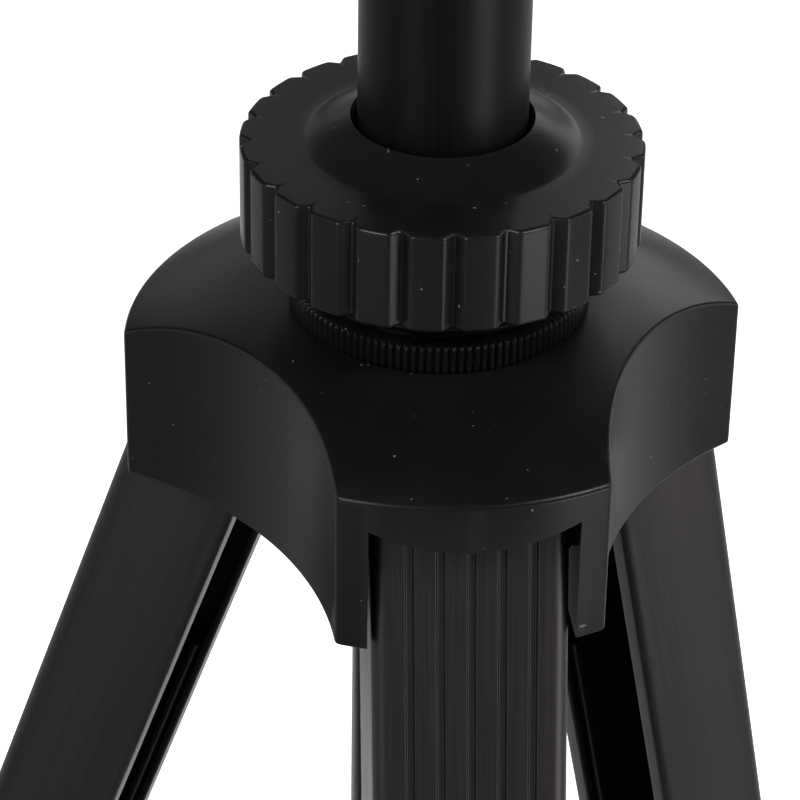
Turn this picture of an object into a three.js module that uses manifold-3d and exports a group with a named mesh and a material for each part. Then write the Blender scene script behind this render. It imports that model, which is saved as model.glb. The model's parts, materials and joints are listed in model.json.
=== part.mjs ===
// A webcam on an adjustable tripod. Millimetres, +Z up, floor at Z = 0, front leg towards -Y.
// The hub is a three-lobed crown with a clamped centre column. Three fluted channel legs hang from
// it, each with two telescoping sections, two lever clamps and a rubber foot. A ball head on the
// column carries the webcam.

import * as THREE from "three";
import { mergeVertices } from "three/addons/utils/BufferGeometryUtils.js";
import Module from "manifold-3d";

// ---- Driving dimensions ------------------------------------------------------------------------------

const GAP = 0.3; // clearance between neighbouring pieces
const PIVOT_HEIGHT = 420; // leg pivots above the floor

// Centre column
const COLUMN_RADIUS = 12.5;
const COLUMN_WALL = 1.2;
const COLUMN_LENGTH = 262;
const COLUMN_EXPOSED = 60; // above the collar's rim
const COLUMN_PLUG_FLANGE = 4;

// Crown
const LOBE_BEYOND_PIVOT = 13.4; // a lobe's end face
const CROWN_EDGE_ABOVE_PIVOT = 12.9; // the lobes' top edge
const CROWN_RISE = 6.4; // from the lobes' edge up to the neck
const CROWN_BELOW_PIVOT = 12.5; // the cheeks' lower edge
const SCALLOP_SHELF = 9.15; // from the ring to the middle of a concave wall
const CHEEK_WALL = 4.5; // each side of a leg, at the lobe's end
const LINTEL_HEIGHT = 4.8; // the lobe's end above its leg
const GUIDE_WALL = 3.9; // crown core round the column
const CORE_HOLE_RADIUS = 4;

// Column clamp
const COLLET_WALL = 1.9;
const COLLET_DEPTH = 4; // below the crown's top
const COLLET_SPLIT = 2;
const COLLET_HEAD = 2.9; // how far its clamping taper stands out
const TAPER_ABOVE_NECK = [1.9, 6.5]; // the taper's two ends
const NECK_WALL = 4.2;
const NECK_HEIGHT = 19.7;
const RING_WALL = 3;
const RING_HEIGHT = 4.3;
const RING_TEETH = 120;
const RING_TOOTH_DEPTH = 0.8;
const COLLAR_WALL = 10.2; // from the neck's thread to the teeth
const COLLAR_HEIGHT = 15.1;
const COLLAR_TEETH = 24;
const COLLAR_TOOTH_DEPTH = 2.3;
const COLLAR_LAND = 0.52; // share of a tooth's pitch that its outer land takes
const COLLAR_ABOVE_EDGE = 33.6; // the collar's rim above the lobes' edge
const COLLAR_BOSS_HEIGHT = 3.8;
const COLLAR_BOSS_FOOT = 8; // the boss's width round the column
const COLLAR_CHAMFER = 0.8;

// Legs: outer channel, middle channel, lower tube
const LEG_CORE_GAP = 3.1; // a vertical leg's lips to the crown's core
const PIVOT_PIN_RADIUS = 3;
const PIVOT_PIN_SEAT = 2.9; // how far the pin enters each cheek
const LEG_SIDE_GAP = 0.8; // between a leg and each cheek
const LEG_WIDTH = 28.8;
const LEG_DEPTH = 20.5;
const LEG_FACE = 8.2; // pivot to the fluted outer face
const LEG_ABOVE_PIVOT = 5;
const LEG_LENGTH = 324; // channel below the pivot
const TOP_BLOCK_DROP = 24; // the nylon block below the pivot
const TOP_BLOCK_HOLLOW = 14;
const LEG_WALL = 1.5;
const LEG_LIP = 4.1;
const LEG_CORNER = 3;
const FLUTES = 5;
const FLUTE_WIDTH = 1.4;
const FLUTE_DEPTH = 0.5;
const FLUTE_PITCH = 4.5;
const MIDDLE_TOP = 66; // the middle section's top below the pivot when closed
const LOWER_TOP = 167; // the lower section's top below the pivot when closed
const CLAMP_WALL = 2.6;
const CLAMP_HOLD = 22; // how much of the outer section a clamp covers
const CLAMP_NOSE = 18; // how far it goes on over the inner section
const FOOT_LENGTH = 34;
const FOOT_RUBBER = 3.4; // rubber around the lower tube
const FOOT_SOLE = 7; // rubber under the lower tube
const SECTION_STEP = 4; // free tube between a clamp and the next piece when closed

// The splay of each leg from the vertical, in degrees, and its direction round the column
const LEGS = [
  { name: "front", heading: -90, splay: 10.8 },
  { name: "right", heading: 30, splay: 12.2 },
  { name: "left", heading: 150, splay: 19.65 },
];

// Lever of a leg clamp
const LEVER_THICKNESS = 4.2;
const LEVER_BARREL = 4.2;
const LEVER_EAR = 4;
const LEVER_TRUNNION = 2;
const LEVER_INSET = 6; // barrel axis above the clamp's lower end
const LEVER_TIP = 6; // the raised end that a thumb catches

// Ball head
const HEAD_BASE_RADIUS = 18;
const HEAD_BASE_HEIGHT = 7;
const HEAD_SPIGOT_RADIUS = 6;
const HEAD_SPIGOT_HEIGHT = 4;
const HEAD_PLUG_DEPTH = 14; // inside the column tube
const BALL_RADIUS = 11;
const BALL_CLEARANCE = 0.5;
const BALL_FLOOR = 6.5; // housing under the ball
const HOUSING_WALL = 5;
const MOUTH_DROP = 4.5; // the socket's top to its mouth
const HOUSING_RIM = 2;
const STEM_RADIUS = 4;
const STEM_NECK = 7; // ball to platform
const PLATFORM_RADIUS = 19;
const PLATFORM_HEIGHT = 6;
const STEM_SOCKET = 3; // the stem's depth in the platform
const PAD_HEIGHT = 1.6;
const SCREW_RADIUS = 3.1;
const SCREW_STAND = 4.5; // thread that stands above the pad
const BALL_KNOB_RADIUS = 9.5;
const PAN_KNOB_RADIUS = 6;
const KNOB_LENGTH = 11;
const KNOB_STEM_RADIUS = 3;
const KNOB_BOSS = 1.5; // the pad that a knob seats on
const KNOB_DEPTH = 3; // its stem inside the housing

// Webcam and its folding clip
const CLIP_WIDTH = 44;
const CLIP_DEPTH = 34;
const CLIP_CORNER = 5;
const FLAP_HEIGHT = 6.5;
const LEAF_HEIGHT = 5.5;
const CLIP_PIN_RADIUS = 1.5;
const CLIP_KNUCKLE = 3.2;
const TILT_HEIGHT = 7.5; // tilt pin above the leaf
const TILT_PIN_RADIUS = 2;
const TILT_BARREL = 4.6;
const TONGUE_WIDTH = 13;
const TILT_EAR = 3.2;
const CAM_WIDTH = 92;
const CAM_HEIGHT = 30;
const CAM_DEPTH = 25;
const CAM_WALL = 1.8;
const CAM_CORNER = 12.5; // seen from the front
const CAM_ROUND = 2.5; // edge round of the shells
const CAM_ABOVE_TILT = 22; // tilt pin to the middle of the body
const GLASS_MARGIN = 4;
const GLASS_THICKNESS = 1.2;
const LENS_RADIUS = 8.6;
const LENS_STAND = 2; // lens ring in front of the glass
const LENS_GLASS_RADIUS = 4.6;
const LENS_WELL = 3.4; // depth of the lens ring's mouth
const BOARD_THICKNESS = 1.6;
const BOARD_POST_RADIUS = 2.5;
const BOARD_SET_BACK = 9; // from the webcam's face
const INLET_RADIUS = 2.6;

// Facets of round pieces
const WIDE_ROUND = 48;
const ROUND = 32;
const SMALL_ROUND = 14;
const LENS_ROUND = 30;

// ---- Materials ---------------------------------------------------------------------------------------

const material = (color, roughness, metalness) =>
  new THREE.MeshStandardMaterial({ color, roughness, metalness });
const crownBlack = material(0x161617, 0.5, 0);
const collarBlack = material(0x141415, 0.45, 0);
const anodised = material(0x1a1a1c, 0.42, 0.6);
const columnBlack = material(0x0c0c0d, 0.35, 0.5);
const clampBlack = material(0x18181a, 0.6, 0);
const rubber = material(0x111111, 0.9, 0);
const steel = material(0x8c8d90, 0.35, 1);
const nylon = material(0x2a2a2c, 0.6, 0);
const glassBlack = material(0x060607, 0.08, 0);
const lensGlass = material(0x10131c, 0.03, 0);
const boardGreen = material(0x174a2c, 0.6, 0);

// ---- Geometry helpers --------------------------------------------------------------------------------

const wasm = await Module();
wasm.setup();

const MERGE_DISTANCE = 1e-4;
const radians = THREE.MathUtils.degToRad;

// A closed three.js geometry as a solid that can be cut and joined.
function solid(geometry) {
  const bare = geometry.clone();
  bare.deleteAttribute("normal");
  bare.deleteAttribute("uv");
  const merged = mergeVertices(bare, MERGE_DISTANCE);
  const index = merged.index.array;
  const faces = [];
  for (let i = 0; i < index.length; i += 3) {
    const [a, b, c] = [index[i], index[i + 1], index[i + 2]];
    if (a !== b && b !== c && c !== a) faces.push(a, b, c); // a pole's flat triangles are dropped
  }
  return new wasm.Manifold(
    new wasm.Mesh({
      numProp: 3,
      vertProperties: Float32Array.from(merged.attributes.position.array),
      triVerts: Uint32Array.from(faces),
    }),
  );
}

// A solid as a named mesh.
function piece(name, made, look) {
  const { vertProperties, triVerts, numProp, numVert } = made.getMesh();
  const position = new Float32Array(numVert * 3);
  for (let i = 0; i < numVert; i++) {
    position.set(vertProperties.subarray(i * numProp, i * numProp + 3), i * 3);
  }
  const geometry = new THREE.BufferGeometry();
  geometry.setAttribute("position", new THREE.BufferAttribute(position, 3));
  geometry.setIndex(new THREE.BufferAttribute(triVerts, 1));
  geometry.computeVertexNormals();
  const mesh = new THREE.Mesh(geometry, look);
  mesh.name = name;
  return mesh;
}

// A box between two corners.
function box([x0, y0, z0], [x1, y1, z1]) {
  return new THREE.BoxGeometry(x1 - x0, y1 - y0, z1 - z0).translate(
    (x0 + x1) / 2,
    (y0 + y1) / 2,
    (z0 + z1) / 2,
  );
}

// A profile of [radius, height] points turned about Z. It runs up its outside.
function turned(profile, segments = ROUND) {
  const points = profile.map(([r, z]) => new THREE.Vector2(r, z));
  return new THREE.LatheGeometry(points, segments).rotateX(Math.PI / 2);
}

// A ring of rectangular section, or a disc where the inner radius is 0.
function ring(inner, outer, z0, z1, segments = ROUND) {
  const profile = [[inner, z0], [outer, z0], [outer, z1], [inner, z1]];
  if (inner > 0) profile.push([inner, z0]);
  return turned(profile, segments);
}

// A round bar along X, Y or Z.
function bar(axis, radius, from, to, segments = SMALL_ROUND) {
  const geometry = new THREE.CylinderGeometry(radius, radius, to - from, segments);
  geometry.translate(0, (from + to) / 2, 0);
  if (axis === "x") geometry.rotateZ(-Math.PI / 2);
  if (axis === "z") geometry.rotateX(Math.PI / 2);
  return geometry;
}

// A plan shape raised from z0 to z1.
function raised(shape, z0, z1, curveSegments = 3) {
  const options = { depth: z1 - z0, bevelEnabled: false, curveSegments };
  return new THREE.ExtrudeGeometry(shape, options).translate(0, 0, z0);
}

// A shape drawn on X and Z, with depth from y0 to y1.
function deepened(shape, y0, y1, bevel = 0, curveSegments = 5) {
  const options = {
    depth: y1 - y0 - 2 * bevel,
    bevelEnabled: bevel > 0,
    bevelThickness: bevel,
    bevelSize: bevel,
    bevelOffset: -bevel,
    bevelSegments: 1,
    curveSegments,
  };
  return new THREE.ExtrudeGeometry(shape, options)
    .rotateX(Math.PI / 2)
    .translate(0, y1 - bevel, 0);
}

// A rectangle with round corners, about a centre.
function roundRect(width, height, radius, cx = 0, cy = 0) {
  const [x, y] = [width / 2, height / 2];
  const shape = new THREE.Shape();
  shape.absarc(cx + x - radius, cy + y - radius, radius, 0, Math.PI / 2);
  shape.absarc(cx - x + radius, cy + y - radius, radius, Math.PI / 2, Math.PI);
  shape.absarc(cx - x + radius, cy - y + radius, radius, Math.PI, 1.5 * Math.PI);
  shape.absarc(cx + x - radius, cy - y + radius, radius, 1.5 * Math.PI, 2 * Math.PI);
  return shape;
}

// The outline of a toothed rim: V valleys between lands that take a share of the pitch.
function toothedRim(teeth, tip, valley, land) {
  const pitch = (2 * Math.PI) / teeth;
  const points = [];
  const at = (r, a) => points.push(new THREE.Vector2(r * Math.cos(a), r * Math.sin(a)));
  for (let i = 0; i < teeth; i++) {
    at(valley, i * pitch);
    for (const share of land > 0 ? [-0.5, 0, 0.5] : [0]) {
      at(tip, (i + 0.5 + share * land) * pitch);
    }
  }
  return new THREE.Shape(points);
}

// ---- Sizes that follow from the driving ones ---------------------------------------------------------

const crownEdge = PIVOT_HEIGHT + CROWN_EDGE_ABOVE_PIVOT;
const crownTop = crownEdge + CROWN_RISE;
const crownFoot = PIVOT_HEIGHT - CROWN_BELOW_PIVOT;
const rim = crownEdge + COLLAR_ABOVE_EDGE; // the collar's rim
const neckTop = crownTop + NECK_HEIGHT;
const colletInner = COLUMN_RADIUS + GAP;
const colletOuter = colletInner + COLLET_WALL;
const neckInner = colletOuter + GAP;
const neckOuter = neckInner + NECK_WALL;
const threadRadius = neckOuter + GAP;
const ringRadius = threadRadius + RING_WALL;
const collarRadius = threadRadius + COLLAR_WALL;
const collarBore = COLUMN_RADIUS + 3 * GAP;
const pocketHalf = LEG_WIDTH / 2 + LEG_SIDE_GAP;
const pocketTop = crownEdge - LINTEL_HEIGHT;
const guideOuter = colletOuter + GUIDE_WALL;
const pivotRadius = guideOuter + LEG_CORE_GAP + LEG_DEPTH - LEG_FACE; // pivots from the axis
const crownRadius = pivotRadius + LOBE_BEYOND_PIVOT;
const scallopRadius = ringRadius + SCALLOP_SHELF;
const columnTop = rim + COLUMN_EXPOSED;
const columnBottom = columnTop - COLUMN_LENGTH;
const pinHalf = pocketHalf + PIVOT_PIN_SEAT;
const pinHole = PIVOT_PIN_RADIUS + GAP;

// ---- Hub ---------------------------------------------------------------------------------------------

// The crown seen from above: three round lobe ends joined by concave walls.
function crownOutline() {
  const lobeHalf = Math.asin((pocketHalf + CHEEK_WALL) / crownRadius);
  const corner = Math.PI / 3 - lobeHalf; // from a concave wall's middle to its end
  const [cx, cy] = [crownRadius * Math.cos(corner), crownRadius * Math.sin(corner)];
  const centre = (crownRadius ** 2 - scallopRadius ** 2) / (2 * (cx - scallopRadius));
  const radius = centre - scallopRadius;
  const half = Math.asin(cy / radius);
  const shape = new THREE.Shape();
  for (const { heading } of LEGS) {
    const lobe = radians(heading);
    const wall = lobe + Math.PI / 3;
    shape.absarc(0, 0, crownRadius, lobe - lobeHalf, lobe + lobeHalf);
    const from = wall + Math.PI + half;
    const [x, y] = [centre * Math.cos(wall), centre * Math.sin(wall)];
    shape.absarc(x, y, radius, from, from - 2 * half, true);
  }
  return shape;
}

// A point of the crown's domed top, from its rim (share 0) in to the ring (share 1).
function domePoint(share) {
  const radius = crownRadius + share * (ringRadius - crownRadius);
  return [radius, crownTop - CROWN_RISE * (1 - share) ** 2];
}

function makeCrown() {
  const dome = turned([
    [0, crownFoot],
    [crownRadius + 1, crownFoot],
    [crownRadius + 1, crownEdge - 0.5],
    ...[0, 0.4, 0.7, 1].map((share) => domePoint(share)),
    [0, crownTop],
  ], WIDE_ROUND);
  let crown = solid(raised(crownOutline(), crownFoot, crownTop, 10)).intersect(solid(dome));
  crown = crown.add(solid(ring(0, neckOuter, crownFoot, neckTop)));
  crown = crown.subtract(solid(ring(0, colletInner + GAP, crownFoot - 1, neckTop + 1)));
  crown = crown.subtract(solid(ring(0, neckInner, crownTop - COLLET_DEPTH, neckTop + 1)));
  for (const { heading } of LEGS) {
    const pocket = box(
      [guideOuter, -pocketHalf, crownFoot - 1],
      [crownRadius + 5, pocketHalf, pocketTop],
    );
    const seat = bar("y", pinHole, -pinHalf - GAP, pinHalf + GAP);
    seat.translate(pivotRadius, 0, PIVOT_HEIGHT);
    const core = ring(0, CORE_HOLE_RADIUS, crownFoot - 1, pocketTop, SMALL_ROUND);
    core.translate((guideOuter + scallopRadius) / 2, 0, 0);
    crown = crown.subtract(solid(pocket.rotateZ(radians(heading))));
    crown = crown.subtract(solid(seat.rotateZ(radians(heading))));
    crown = crown.subtract(solid(core.rotateZ(radians(heading + 60))));
  }
  return piece("crown", crown, crownBlack);
}

function makePivotPin({ name, heading }) {
  const pin = bar("y", PIVOT_PIN_RADIUS, -pinHalf, pinHalf);
  pin.translate(pivotRadius, 0, PIVOT_HEIGHT).rotateZ(radians(heading));
  return piece(`pivot_pin_${name}`, solid(pin), steel);
}

// The knurled locking ring on the neck's thread.
function makeLockRing() {
  const bottom = crownTop + GAP;
  const rimShape = toothedRim(RING_TEETH, ringRadius, ringRadius - RING_TOOTH_DEPTH, 0);
  rimShape.holes.push(new THREE.Path().absarc(0, 0, threadRadius, 0, 2 * Math.PI));
  const made = solid(raised(rimShape, bottom, bottom + RING_HEIGHT, ROUND / 2));
  return piece("lock_ring", made, collarBlack);
}

// The large grip collar that closes the collet on the column.
function makeCollar() {
  const bottom = rim - COLLAR_HEIGHT;
  const top = rim + COLLAR_BOSS_HEIGHT;
  const bore = collarBore;
  const bossRadius = COLUMN_RADIUS + COLLAR_BOSS_FOOT;
  const envelope = turned([
    [0, bottom],
    [collarRadius, bottom],
    [collarRadius, rim - COLLAR_CHAMFER],
    [collarRadius - COLLAR_CHAMFER, rim],
    [bossRadius, rim],
    [bore + (bossRadius - bore) * 0.5, rim + COLLAR_BOSS_HEIGHT * 0.4],
    [bore, top],
    [0, top],
  ], WIDE_ROUND);
  const valley = collarRadius - COLLAR_TOOTH_DEPTH;
  const teeth = toothedRim(COLLAR_TEETH, collarRadius, valley, COLLAR_LAND);
  const cone = colletTaper(GAP * 1.5);
  const hollow = turned([
    [0, bottom - 1],
    [threadRadius, bottom - 1],
    [threadRadius, cone[0][1]],
    ...cone,
    [cone[1][0], cone[1][1] + GAP],
    [bore, cone[1][1] + GAP],
    [bore, top + 1],
    [0, top + 1],
  ]);
  let collar = solid(raised(teeth, bottom, top)).intersect(solid(envelope));
  collar = collar.subtract(solid(hollow));
  return piece("column_collar", collar, collarBlack);
}

// The two ends of the collet's clamping taper, grown outwards by a clearance.
function colletTaper(grown) {
  const [low, high] = TAPER_ABOVE_NECK.map((height) => neckTop + height);
  return [[colletOuter + COLLET_HEAD + grown, low], [colletOuter - 0.5 + grown, high]];
}

// The split sleeve that the collar squeezes onto the column.
function makeCollet() {
  const taper = colletTaper(0);
  const bottom = crownTop - COLLET_DEPTH + GAP;
  const seat = neckTop + GAP;
  const sleeve = turned([
    [colletInner, bottom],
    [colletOuter, bottom],
    [colletOuter, seat],
    [taper[0][0], seat],
    ...taper,
    [colletInner, taper[1][1]],
    [colletInner, bottom],
  ]);
  const split = box([0, -COLLET_SPLIT / 2, bottom - 1], [threadRadius, COLLET_SPLIT / 2, rim]);
  return piece("collet", solid(sleeve).subtract(solid(split)), nylon);
}

function makeColumn() {
  const inner = COLUMN_RADIUS - COLUMN_WALL;
  const tube = solid(ring(inner, COLUMN_RADIUS, columnBottom, columnTop));
  const plugTop = columnBottom + HEAD_PLUG_DEPTH;
  const plug = turned([
    [0, columnBottom - COLUMN_PLUG_FLANGE - GAP],
    [COLUMN_RADIUS, columnBottom - COLUMN_PLUG_FLANGE - GAP],
    [COLUMN_RADIUS + 1, columnBottom - COLUMN_PLUG_FLANGE + 1],
    [COLUMN_RADIUS + 1, columnBottom - GAP],
    [inner - GAP, columnBottom - GAP],
    [inner - GAP, plugTop],
    [0, plugTop],
  ]);
  return [
    piece("column_tube", tube, columnBlack),
    piece("column_plug", solid(plug), clampBlack),
  ];
}

// ---- Legs --------------------------------------------------------------------------------------------
// A leg's frame has its origin at the pivot, X out through the fluted face, Y across, Z up along the leg.

// The section sizes, from the outside in: each nests in the one before it.
const outerSection = { face: LEG_FACE, width: LEG_WIDTH, depth: LEG_DEPTH, wall: LEG_WALL, lip: LEG_LIP };
const middleSection = nested(outerSection);
const lowerSection = nested(middleSection);

function nested({ face, width, depth, wall, lip }) {
  const inset = wall + GAP;
  return {
    face: face - inset,
    width: width - 2 * inset,
    depth: depth - 2 * inset,
    wall: wall - 0.1,
    lip: lip - 0.5,
  };
}

// Points of the outer face, with its flutes, from one corner to the other.
function flutedFace(face, flutes) {
  const points = [];
  for (let i = 0; i < flutes; i++) {
    const middle = ((flutes - 1) / 2 - i) * FLUTE_PITCH;
    const [edge, floor] = [FLUTE_WIDTH / 2, FLUTE_WIDTH / 2 - 0.3];
    points.push([face, middle + edge], [face - FLUTE_DEPTH, middle + floor]);
    points.push([face - FLUTE_DEPTH, middle - floor], [face, middle - edge]);
  }
  return points;
}

// A channel that is open on its inner side between two lips.
function channelShape({ face, width, depth, wall, lip }, flutes) {
  const y = width / 2;
  const back = face - depth;
  const inner = 1.2; // corner radius beside the lips
  const shape = new THREE.Shape();
  shape.moveTo(back, -y + lip);
  shape.lineTo(back + wall, -y + lip);
  shape.lineTo(back + wall, -y + wall);
  shape.lineTo(face - wall, -y + wall);
  shape.lineTo(face - wall, y - wall);
  shape.lineTo(back + wall, y - wall);
  shape.lineTo(back + wall, y - lip);
  shape.lineTo(back, y - lip);
  shape.absarc(back + inner, y - inner, inner, Math.PI, Math.PI / 2, true);
  shape.absarc(face - LEG_CORNER, y - LEG_CORNER, LEG_CORNER, Math.PI / 2, 0, true);
  for (const [px, py] of flutedFace(face, flutes)) shape.lineTo(px, py);
  shape.absarc(face - LEG_CORNER, -y + LEG_CORNER, LEG_CORNER, 0, -Math.PI / 2, true);
  shape.absarc(back + inner, -y + inner, inner, -Math.PI / 2, -Math.PI, true);
  return shape;
}

// The rectangle of a section, grown by a clearance and raised between two heights.
function sectionBlock({ face, width, depth }, grown, z0, z1, corner = LEG_CORNER) {
  const shape = roundRect(depth + 2 * grown, width + 2 * grown, corner + grown, face - depth / 2, 0);
  return raised(shape, z0, z1);
}

const clampDrop = LEG_LENGTH - CLAMP_HOLD; // pivot to the upper clamp's top
const clampLength = CLAMP_HOLD + CLAMP_NOSE;
const middleEnd = clampDrop + clampLength + SECTION_STEP + CLAMP_HOLD; // closed
const lowerClampDrop = middleEnd - CLAMP_HOLD;
const footTop = lowerClampDrop + clampLength + SECTION_STEP; // closed
const closedReach = footTop + FOOT_LENGTH;

// How far the lower section is drawn out so that a leg's foot reaches the floor.
function drawnOut({ splay }) {
  const angle = radians(splay);
  const middle = LEG_FACE - LEG_DEPTH / 2;
  return (PIVOT_HEIGHT + middle * Math.sin(angle)) / Math.cos(angle) - closedReach;
}

function makeChannel(name) {
  let channel = solid(raised(channelShape(outerSection, FLUTES), -LEG_LENGTH, LEG_ABOVE_PIVOT, 4));
  channel = channel.subtract(solid(bar("y", pinHole, -LEG_WIDTH, LEG_WIDTH)));
  return piece(`leg_channel_${name}`, channel, anodised);
}

// The nylon block that fills the channel's top end and turns on the pivot pin.
function makeTopBlock(name) {
  const [y, out] = [LEG_WIDTH / 2 - LEG_WALL - GAP, LEG_FACE - LEG_WALL - GAP];
  const back = LEG_FACE - LEG_DEPTH + LEG_WALL + GAP;
  const body = box([back, -y, -TOP_BLOCK_DROP], [out, y, LEG_ABOVE_PIVOT - 0.5]);
  const top = TOP_BLOCK_HOLLOW - TOP_BLOCK_DROP;
  const hollow = box([back + 3, -y + 5, -TOP_BLOCK_DROP - 1], [out - 3, y - 5, top]);
  let block = solid(body).subtract(solid(hollow));
  block = block.subtract(solid(bar("y", pinHole, -LEG_WIDTH, LEG_WIDTH)));
  return piece(`leg_top_block_${name}`, block, nylon);
}

// A clamp housing: it grips the end of one section and guides the next. Its top is at z = -drop.
function makeClamp(name, outer, innerSection, drop) {
  const shell = GAP + CLAMP_WALL;
  const bottom = -drop - clampLength;
  let clamp = solid(sectionBlock(outer, shell, bottom, -drop, LEG_CORNER - 1));
  clamp = clamp.subtract(solid(sectionBlock(outer, GAP, -drop - CLAMP_HOLD - GAP, 1 - drop, 0.8)));
  clamp = clamp.subtract(solid(sectionBlock(innerSection, GAP, bottom - 1, 1 - drop, 0.8)));
  const lever = leverPlace(outer, drop);
  const face = outer.face + shell;
  for (const side of [-1, 1]) {
    const across = [side * (lever.half + GAP), side * (lever.half + GAP + LEVER_EAR)];
    const [y0, y1] = across.sort((a, b) => a - b);
    const foot = [face - 1, y0, lever.z - LEVER_BARREL];
    const ear = box(foot, [lever.x + LEVER_BARREL, y1, lever.z + LEVER_BARREL]);
    clamp = clamp.add(solid(ear));
  }
  const hole = bar("y", LEVER_TRUNNION + GAP, -outer.width, outer.width);
  clamp = clamp.subtract(solid(hole.translate(lever.x, 0, lever.z)));
  return piece(name, clamp, clampBlack);
}

// Where a clamp's lever turns: its axis, and half its width.
function leverPlace(outer, drop) {
  return {
    x: outer.face + GAP + CLAMP_WALL + LEVER_BARREL + GAP,
    z: -drop - clampLength + LEVER_INSET,
    half: outer.width / 2 - LEVER_EAR,
  };
}

// The lever lies flat up the clamp's face when locked, and its free end stands a little proud.
function makeLever(name, outer, drop) {
  const { x, z, half } = leverPlace(outer, drop);
  const face = outer.face + GAP + CLAMP_WALL + 2 * GAP;
  const top = -drop + 1;
  const grip = box([face, -half, z], [face + LEVER_THICKNESS, half, top]);
  const tip = box([face + 1.2, -half, top - LEVER_TIP], [face + LEVER_THICKNESS + 2, half, top]);
  let lever = solid(grip).add(solid(tip));
  lever = lever.add(solid(bar("y", LEVER_BARREL, -half, half).translate(x, 0, z)));
  const reach = half + LEVER_EAR;
  lever = lever.add(solid(bar("y", LEVER_TRUNNION, -reach, reach).translate(x, 0, z)));
  return piece(name, lever, clampBlack);
}

function makeMiddle(name) {
  const shape = channelShape(middleSection, 0);
  const made = solid(raised(shape, -middleEnd, -MIDDLE_TOP, 4));
  return piece(`leg_middle_${name}`, made, anodised);
}

function makeLower(name, foot) {
  const bottom = foot + FOOT_SOLE;
  const top = foot + closedReach - LOWER_TOP;
  const outside = sectionBlock(lowerSection, 0, bottom, top, 2);
  const hollow = sectionBlock(lowerSection, -lowerSection.wall, bottom - 1, top + 1, 2);
  return piece(`leg_lower_${name}`, solid(outside).subtract(solid(hollow)), anodised);
}

// The rubber foot, with its sole cut flat on the floor.
function makeFoot(name, foot, frame) {
  const boot = sectionBlock(lowerSection, GAP + FOOT_RUBBER, foot - 10, foot + FOOT_LENGTH);
  const socket = sectionBlock(lowerSection, GAP, foot + FOOT_SOLE - GAP, foot + FOOT_LENGTH + 1, 2);
  const floor = box([-500, -500, -200], [500, 500, 0]).applyMatrix4(frame.clone().invert());
  const made = solid(boot).subtract(solid(socket)).subtract(solid(floor));
  return piece(`foot_${name}`, made, rubber);
}

function makeLeg(leg) {
  const { name, heading, splay } = leg;
  const swing = new THREE.Group();
  swing.position.set(pivotRadius, 0, PIVOT_HEIGHT);
  swing.rotation.y = -radians(splay);
  const turn = new THREE.Group();
  turn.rotation.z = radians(heading);
  turn.add(swing);
  turn.updateMatrixWorld(true);

  const foot = -(closedReach + drawnOut(leg)); // sole's height in the leg's frame
  swing.add(makeChannel(name), makeTopBlock(name));
  swing.add(makeClamp(`upper_clamp_${name}`, outerSection, middleSection, clampDrop));
  swing.add(makeLever(`upper_lever_${name}`, outerSection, clampDrop));
  swing.add(makeMiddle(name));
  swing.add(makeClamp(`lower_clamp_${name}`, middleSection, lowerSection, lowerClampDrop));
  swing.add(makeLever(`lower_lever_${name}`, middleSection, lowerClampDrop));
  swing.add(makeLower(name, foot), makeFoot(name, foot, swing.matrixWorld));
  return turn;
}

// ---- Ball head ---------------------------------------------------------------------------------------

const baseBottom = columnTop + GAP;
const baseTop = baseBottom + HEAD_BASE_HEIGHT;
const housingBottom = baseTop + GAP;
const socketRadius = BALL_RADIUS + BALL_CLEARANCE;
const ballCentre = housingBottom + BALL_FLOOR + socketRadius;
const mouthHeight = ballCentre + socketRadius - MOUTH_DROP;
const housingRadius = socketRadius + HOUSING_WALL;
const housingTop = mouthHeight + HOUSING_RIM;
const platformBottom = ballCentre + BALL_RADIUS + STEM_NECK;
const platformTop = platformBottom + PLATFORM_HEIGHT;
const padTop = platformTop + GAP + PAD_HEIGHT;

function makeHeadBase() {
  const plug = COLUMN_RADIUS - COLUMN_WALL - GAP;
  const base = turned([
    [0, columnTop - HEAD_PLUG_DEPTH],
    [plug, columnTop - HEAD_PLUG_DEPTH],
    [plug, baseBottom],
    [HEAD_BASE_RADIUS - 1, baseBottom],
    [HEAD_BASE_RADIUS, baseBottom + 1],
    [HEAD_BASE_RADIUS, baseTop],
    [HEAD_SPIGOT_RADIUS, baseTop],
    [HEAD_SPIGOT_RADIUS, baseTop + HEAD_SPIGOT_HEIGHT],
    [0, baseTop + HEAD_SPIGOT_HEIGHT],
  ]);
  return piece("head_base", solid(base), collarBlack);
}

const ballSphere = (radius) =>
  new THREE.SphereGeometry(radius, 18, 10).rotateX(Math.PI / 2).translate(0, 0, ballCentre);

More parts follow.
